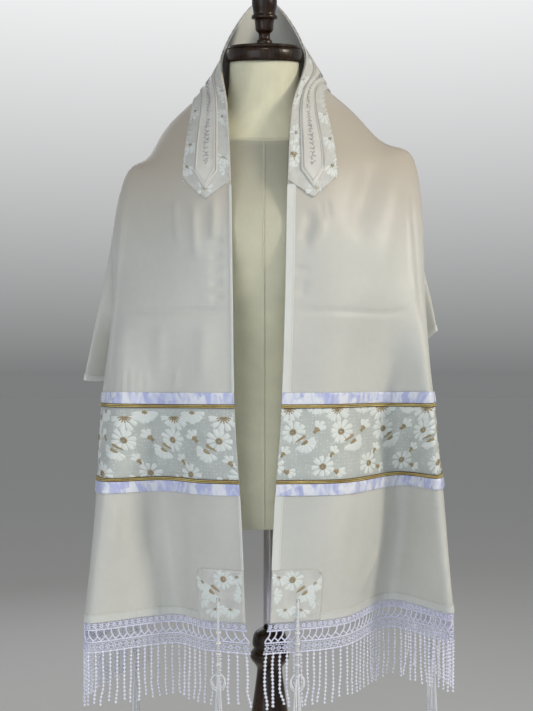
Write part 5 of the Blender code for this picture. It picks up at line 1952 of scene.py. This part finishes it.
@dataclass
class DressForm:
    """The linen dress form: a smooth loft with a neck-base seam, a centre-front seam and side seams."""

    shop: Workshop
    segments: int = 96
    level_step: float = 0.007

    def ring(self, heights: np.ndarray, angles: np.ndarray, lift: float = 0.0) -> np.ndarray:
        """Points of the form.

        Args:
            heights: Nominal heights.
            angles: Angles round it, from the wearer's left towards the back.
            lift: How far the points stand out from its surface.

        Returns:
            The points.
        """
        table = np.array([[*row] for row in FORM_RINGS])
        values = through(table[:, 0], table[:, 1:], heights.ravel()).reshape(*heights.shape, 4)
        c, s = np.cos(angles), np.sin(angles)
        power = 2 / FORM_SQUARENESS
        sized = values[..., :3] - FORM_UNDERCUT + lift
        x = sized[..., 0] * np.copysign(np.abs(c) ** power, c)
        y = np.where(s < 0, sized[..., 1], sized[..., 2]) * np.copysign(np.abs(s) ** power, s)
        return np.stack([x + FORM_SHIFT, y, heights + y * np.tan(NECK_TILT * values[..., 3])], axis=-1)

    def build(self) -> None:
        """Builds the form's cover and its seams."""
        low, high = FORM_RINGS[0].height, NECK_TOP
        heights = np.concatenate([[low, low + 0.0015, low + 0.004],
                                  spaced(low + 0.009, high, self.level_step)])
        angles = np.linspace(0, 2 * math.pi, self.segments + 1)[:-1]
        z, a = grid(heights, angles)
        points = self.ring(z, a)
        rows, columns = z.shape
        faces = [
            (i * columns + j, i * columns + (j + 1) % columns, (i + 1) * columns + (j + 1) % columns,
             (i + 1) * columns + j)
            for i in range(rows - 1) for j in range(columns)
        ]
        flat = points.reshape(-1, 3).tolist()
        faces += [tuple(range(columns))[::-1], tuple(range((rows - 1) * columns, rows * columns))]
        mesh = bpy.data.meshes.new("form_cover")
        mesh.from_pydata(flat, [], faces)
        place = mesh.uv_layers.new(name="cloth").data
        for polygon in mesh.polygons:
            turn = [mesh.loops[k].vertex_index % columns for k in polygon.loop_indices]
            wraps = max(turn) - min(turn) > columns / 2 and len(turn) == 4
            for k in polygon.loop_indices:
                vertex = mesh.loops[k].vertex_index
                column = vertex % columns + (columns if wraps and vertex % columns == 0 else 0)
                place[k].uv = (column / columns * 0.92, flat[vertex][2])
        # The body attribute is painted shade below the neck-base seam: strongest from 1.28 m up, none at 1.05 m, and
        # some again towards the foot.
        body = smooth((self.neck_seam(a) - z) / 0.008 + 0.5) * np.interp(z, (0.80, 1.05, 1.28),
                                                                         (0.55, 0.0, 1.35))
        mesh.attributes.new("body", "FLOAT", "POINT").data.foreach_set("value", body.ravel())
        mesh.shade_smooth()
        for polygon in mesh.polygons[-2:]:
            polygon.use_smooth = False
        self.shop.put("form_cover", mesh, LINEN, "dress_form")
        self.seams()

    @staticmethod
    def neck_seam(angles: np.ndarray) -> np.ndarray:
        """Heights of the neck-base seam round the form: it dips at the front."""
        return 1.3620 - 0.0480 * np.clip(-np.sin(angles), 0, 1) ** 1.4

    def seams(self) -> None:
        """Lays the raised seams: round the neck base, down the front and back, and down both sides, with a line of
        painted shade beside the front seam.
        """
        a = np.linspace(0, 2 * math.pi, 121)
        lines = [self.ring(self.neck_seam(a), a, -0.0001)]
        shades = []
        for angle, start in ((1.5 * math.pi, 1.3120), (0.5 * math.pi, 1.360), (0.0, 1.36), (math.pi, 1.36)):
            heights = np.linspace(start, 0.763, 90)
            lines.append(self.ring(heights, np.full_like(heights, angle), 0.0003))
            # A thin dark thread beside the front seam is painted shade.
            if math.sin(angle) < -0.5:
                shades.append(lines[-1] + np.array([0.0014, 0.0002, 0.0]))
        mesh = joined("form_seams", [
            grow("seams", [line.tolist() for line in lines], thread_tree(), LINEN_SEAM, Radius=0.00055,
                 Sides=6),
            grow("shades", [line.tolist() for line in shades], thread_tree(), LINEN_SHADE, Radius=0.00028,
                 Sides=5),
        ])
        self.shop.put("form_seams", mesh, LINEN_SEAM)


@dataclass
class TurnedStand:
    """The turned wooden base, column, neck cap and finial, and the plated pole."""

    shop: Workshop
    segments: int = 64

    def turn(self, name: str, profile: Sequence[tuple[float, float]], finish: Finish, node: str,
             seat: Vector | None = None, tilt: float = 0.0) -> bpy.types.Object:
        """Turns one piece from its profile.

        Args:
            name: The piece's name.
            profile: Radius and height from top to bottom.
            finish: Its finish.
            node: The solid that it stands for.
            seat: Where the profile's zero stands; the origin where None.
            tilt: How far it leans forward.

        Returns:
            The piece.
        """
        line = np.array(profile)
        knots = np.concatenate([[0.0], np.cumsum(np.sqrt(np.linalg.norm(np.diff(line, axis=0), axis=1)))])
        fine = np.concatenate([np.linspace(a, b, 5, endpoint=False) for a,
                               b in zip(knots, knots[1:])] + [[knots[-1]]])
        smoothed = through(knots, line, fine) if len(line) > 2 else np.linspace(line[0], line[1], 12)
        smoothed[:, 1] = np.clip(smoothed[:, 1], line[-1, 1], line[0, 1])
        heights, radii = smoothed[:, 1], smoothed[:, 0]
        wide = np.array([radii[np.abs(heights - z) < 0.009].mean() for z in heights])
        ridge = np.clip((radii - wide) / 0.0040 - 0.30, 0, 1)
        angles = np.linspace(0, 2 * math.pi, self.segments + 1)[:-1]
        r, a = grid(radii, angles)
        z = np.repeat(heights[:, None], self.segments, axis=1)
        points = np.stack([r * np.cos(a), r * np.sin(a), z], axis=-1).reshape(-1, 3)
        rows, columns = r.shape
        faces = [
            (i * columns + j, (i + 1) * columns + j, (i + 1) * columns + (j + 1) % columns,
             i * columns + (j + 1) % columns)
            for i in range(rows - 1) for j in range(columns)
        ]
        faces += [tuple(range(columns)), tuple(range((rows - 1) * columns, rows * columns))[::-1]]
        if seat is not None:
            turned = np.array(Euler((tilt, 0, 0)).to_matrix())
            points = points @ turned.T + np.array(seat)
        mesh = bpy.data.meshes.new(name)
        mesh.from_pydata(points.tolist(), [], faces)
        mesh.attributes.new("ridge", "FLOAT", "POINT").data.foreach_set("value", np.repeat(ridge, columns))
        mesh.shade_smooth()
        for polygon in mesh.polygons[-2:]:
            polygon.use_smooth = False
        return self.shop.put(name, mesh, finish, node)

    def build(self) -> None:
        """Turns every piece of the stand."""
        self.turn("turned_base", BASE_PROFILE, WOOD, "stand_base")
        self.turn("turned_column", COLUMN_PROFILE, WOOD, "stand_column")
        self.turn("plated_pole", POLE_PROFILE, STEEL, "stand_pole")
        axis = Euler((NECK_TILT, 0, 0)).to_matrix() @ Vector((0, 0, 1))
        neck = Vector((FORM_SHIFT, 0, NECK_TOP))
        self.turn("turned_cap", CAP_PROFILE, WOOD, "neck_cap", neck + axis * 0.0003, NECK_TILT)
        self.turn("turned_finial", FINIAL_PROFILE, WOOD, "finial", neck + axis * (CAP_HEIGHT + 0.0006),
                  NECK_TILT)


@dataclass
class Studio:
    """The plain pale floor, the soft lights and the camera at the photograph's angle."""

    floor_size: float = 40.0

    def build(self) -> None:
        """Builds all three."""
        self.floor()
        self.lights()
        self.camera()

    def floor(self) -> None:
        """Lays a pale floor under the stand."""
        mesh = bpy.data.meshes.new("floor")
        half = self.floor_size
        mesh.from_pydata([(-half, -half, 0), (half, -half, 0), (half, half, 0), (-half, half, 0)], [],
                         [(0, 1, 2, 3)])
        finish = bpy.data.materials.new("pale_floor")
        finish.use_nodes = True
        shader = finish.node_tree.nodes["Principled BSDF"]
        shader.inputs["Base Color"].default_value = (0.74, 0.745, 0.75, 1)
        shader.inputs["Roughness"].default_value = 0.8
        mesh.materials.append(finish)
        piece = bpy.data.objects.new("floor", mesh)
        bpy.context.scene.collection.objects.link(piece)

    def lights(self) -> None:
        """Adds the key, fill, above, low and back lamps."""
        self.room()
        for name, place, aim, size, power, colour in (
            ("key", (2.35, -1.15, 2.15), (0.05, 0, 1.2), 0.6, 38.0, (1.0, 0.93, 0.80)),
            ("fill", (-1.3, -2.3, 1.0), (0.1, 0, 0.6), 1.6, 16.0, (0.89, 0.94, 1.0)),
            ("above", (0.1, -1.6, 2.3), (0, 0, 1.4), 0.3, 4.0, (1.0, 0.96, 0.84)),
            ("low", (0.6, -2.5, 0.8), (0.15, 0, 0.4), 1.4, 4.0, (0.62, 0.79, 1.0)),
            ("back", (-0.7, 2.6, 2.1), (0, 0, 1.1), 1.4, 10.0, (0.96, 0.98, 1.0)),
        ):
            lamp = bpy.data.lights.new(name, "AREA")
            lamp.energy, lamp.size, lamp.color = power, size, colour
            holder = bpy.data.objects.new(name, lamp)
            holder.location = place
            holder.rotation_euler = (Vector(aim) - Vector(place)).to_track_quat("-Z", "Y").to_euler()
            bpy.context.scene.collection.objects.link(holder)

    def room(self) -> None:
        """Sets the world: an even soft light, behind which the backdrop grows paler with height."""
        world = bpy.data.worlds.new("studio")
        world.use_nodes = True
        bpy.context.scene.world = world
        bench = Bench(world.node_tree)
        ground = world.node_tree.nodes["Background"]
        height = bench.add("ShaderNodeSeparateXYZ",
                           {0: bench.add("ShaderNodeTexCoord").outputs["Generated"]}).outputs[2]
        glow = bench.mix(bench.ramp(height, 0.0, 0.7), (0.51, 0.555, 0.605, 1), (0.21, 0.205, 0.19, 1))
        world.node_tree.links.new(glow, ground.inputs["Color"])
        tone = bench.mix(bench.ramp(height, 0.0, 0.33), (0.203, 0.207, 0.208, 1), (0.86, 0.865, 0.87, 1))
        seen = bench.add("ShaderNodeBackground", {"Color": tone, "Strength": 1.0})
        either = bench.add("ShaderNodeMixShader", {
            0: bench.add("ShaderNodeLightPath").outputs["Is Camera Ray"], 1: ground.outputs[0],
            2: seen.outputs[0]})
        world.node_tree.links.new(either.outputs[0], world.node_tree.nodes["World Output"].inputs[0])
        bpy.context.scene.view_settings.view_transform = "Standard"

    def camera(self) -> None:
        """Sets the camera level with the form's chest."""
        reach = 1067.0
        eye = bpy.data.cameras.new("photo_camera")
        eye.sensor_fit = "VERTICAL"
        eye.sensor_height = 24.0
        eye.lens = 24.0 * reach / PHOTO_HEIGHT
        eye.shift_x = (PHOTO_WIDTH / 2 - 269.7) / PHOTO_HEIGHT
        eye.shift_y = (373.0 - PHOTO_HEIGHT / 2) / PHOTO_HEIGHT
        holder = bpy.data.objects.new("photo_camera", eye)
        holder.location = (0.0, -1.6, 0.98)
        holder.rotation_euler = (math.pi / 2, 0, 0)
        bpy.context.scene.collection.objects.link(holder)
        bpy.context.scene.camera = holder


def main() -> None:
    """Builds every part of the dressed object and its studio."""
    logging.basicConfig(level=logging.INFO, format="%(name)s %(message)s")
    Studio().build()
    drape, shop = Drape(), Workshop()
    lengths = ClothLengths(drape, shop)
    cloths = lengths.build()
    DressForm(shop).build()
    TurnedStand(shop).build()
    on_end: dict[Side, list[bpy.types.Object]] = {side: [] for side in Side}
    for side in Side:
        on_end[side] += lengths.hems(side)
        on_end[side] += Ribbons(drape, shop).build(side)
        on_end[side].append(FloralBands(drape, shop).build(side))
        on_end[side].append(LaceTrim(drape, shop).build(side))
        on_end[side].append(BeadedFringe(drape, shop).build(side))
        for inner in (True, False):
            on_end[side].append(CornerPatches(drape, shop).build(side, inner))
            on_end[side].append(CornerTassels(drape, shop).build(side, inner))
    neckband = Neckband(drape, shop).build()
    body, *ends = cloths
    for piece in ends:
        side = Side.LEFT if piece.name.endswith("left") else Side.RIGHT
    LOG.info("all pieces: %d triangles", shop.triangles)


if __name__ == "__main__":
    main()
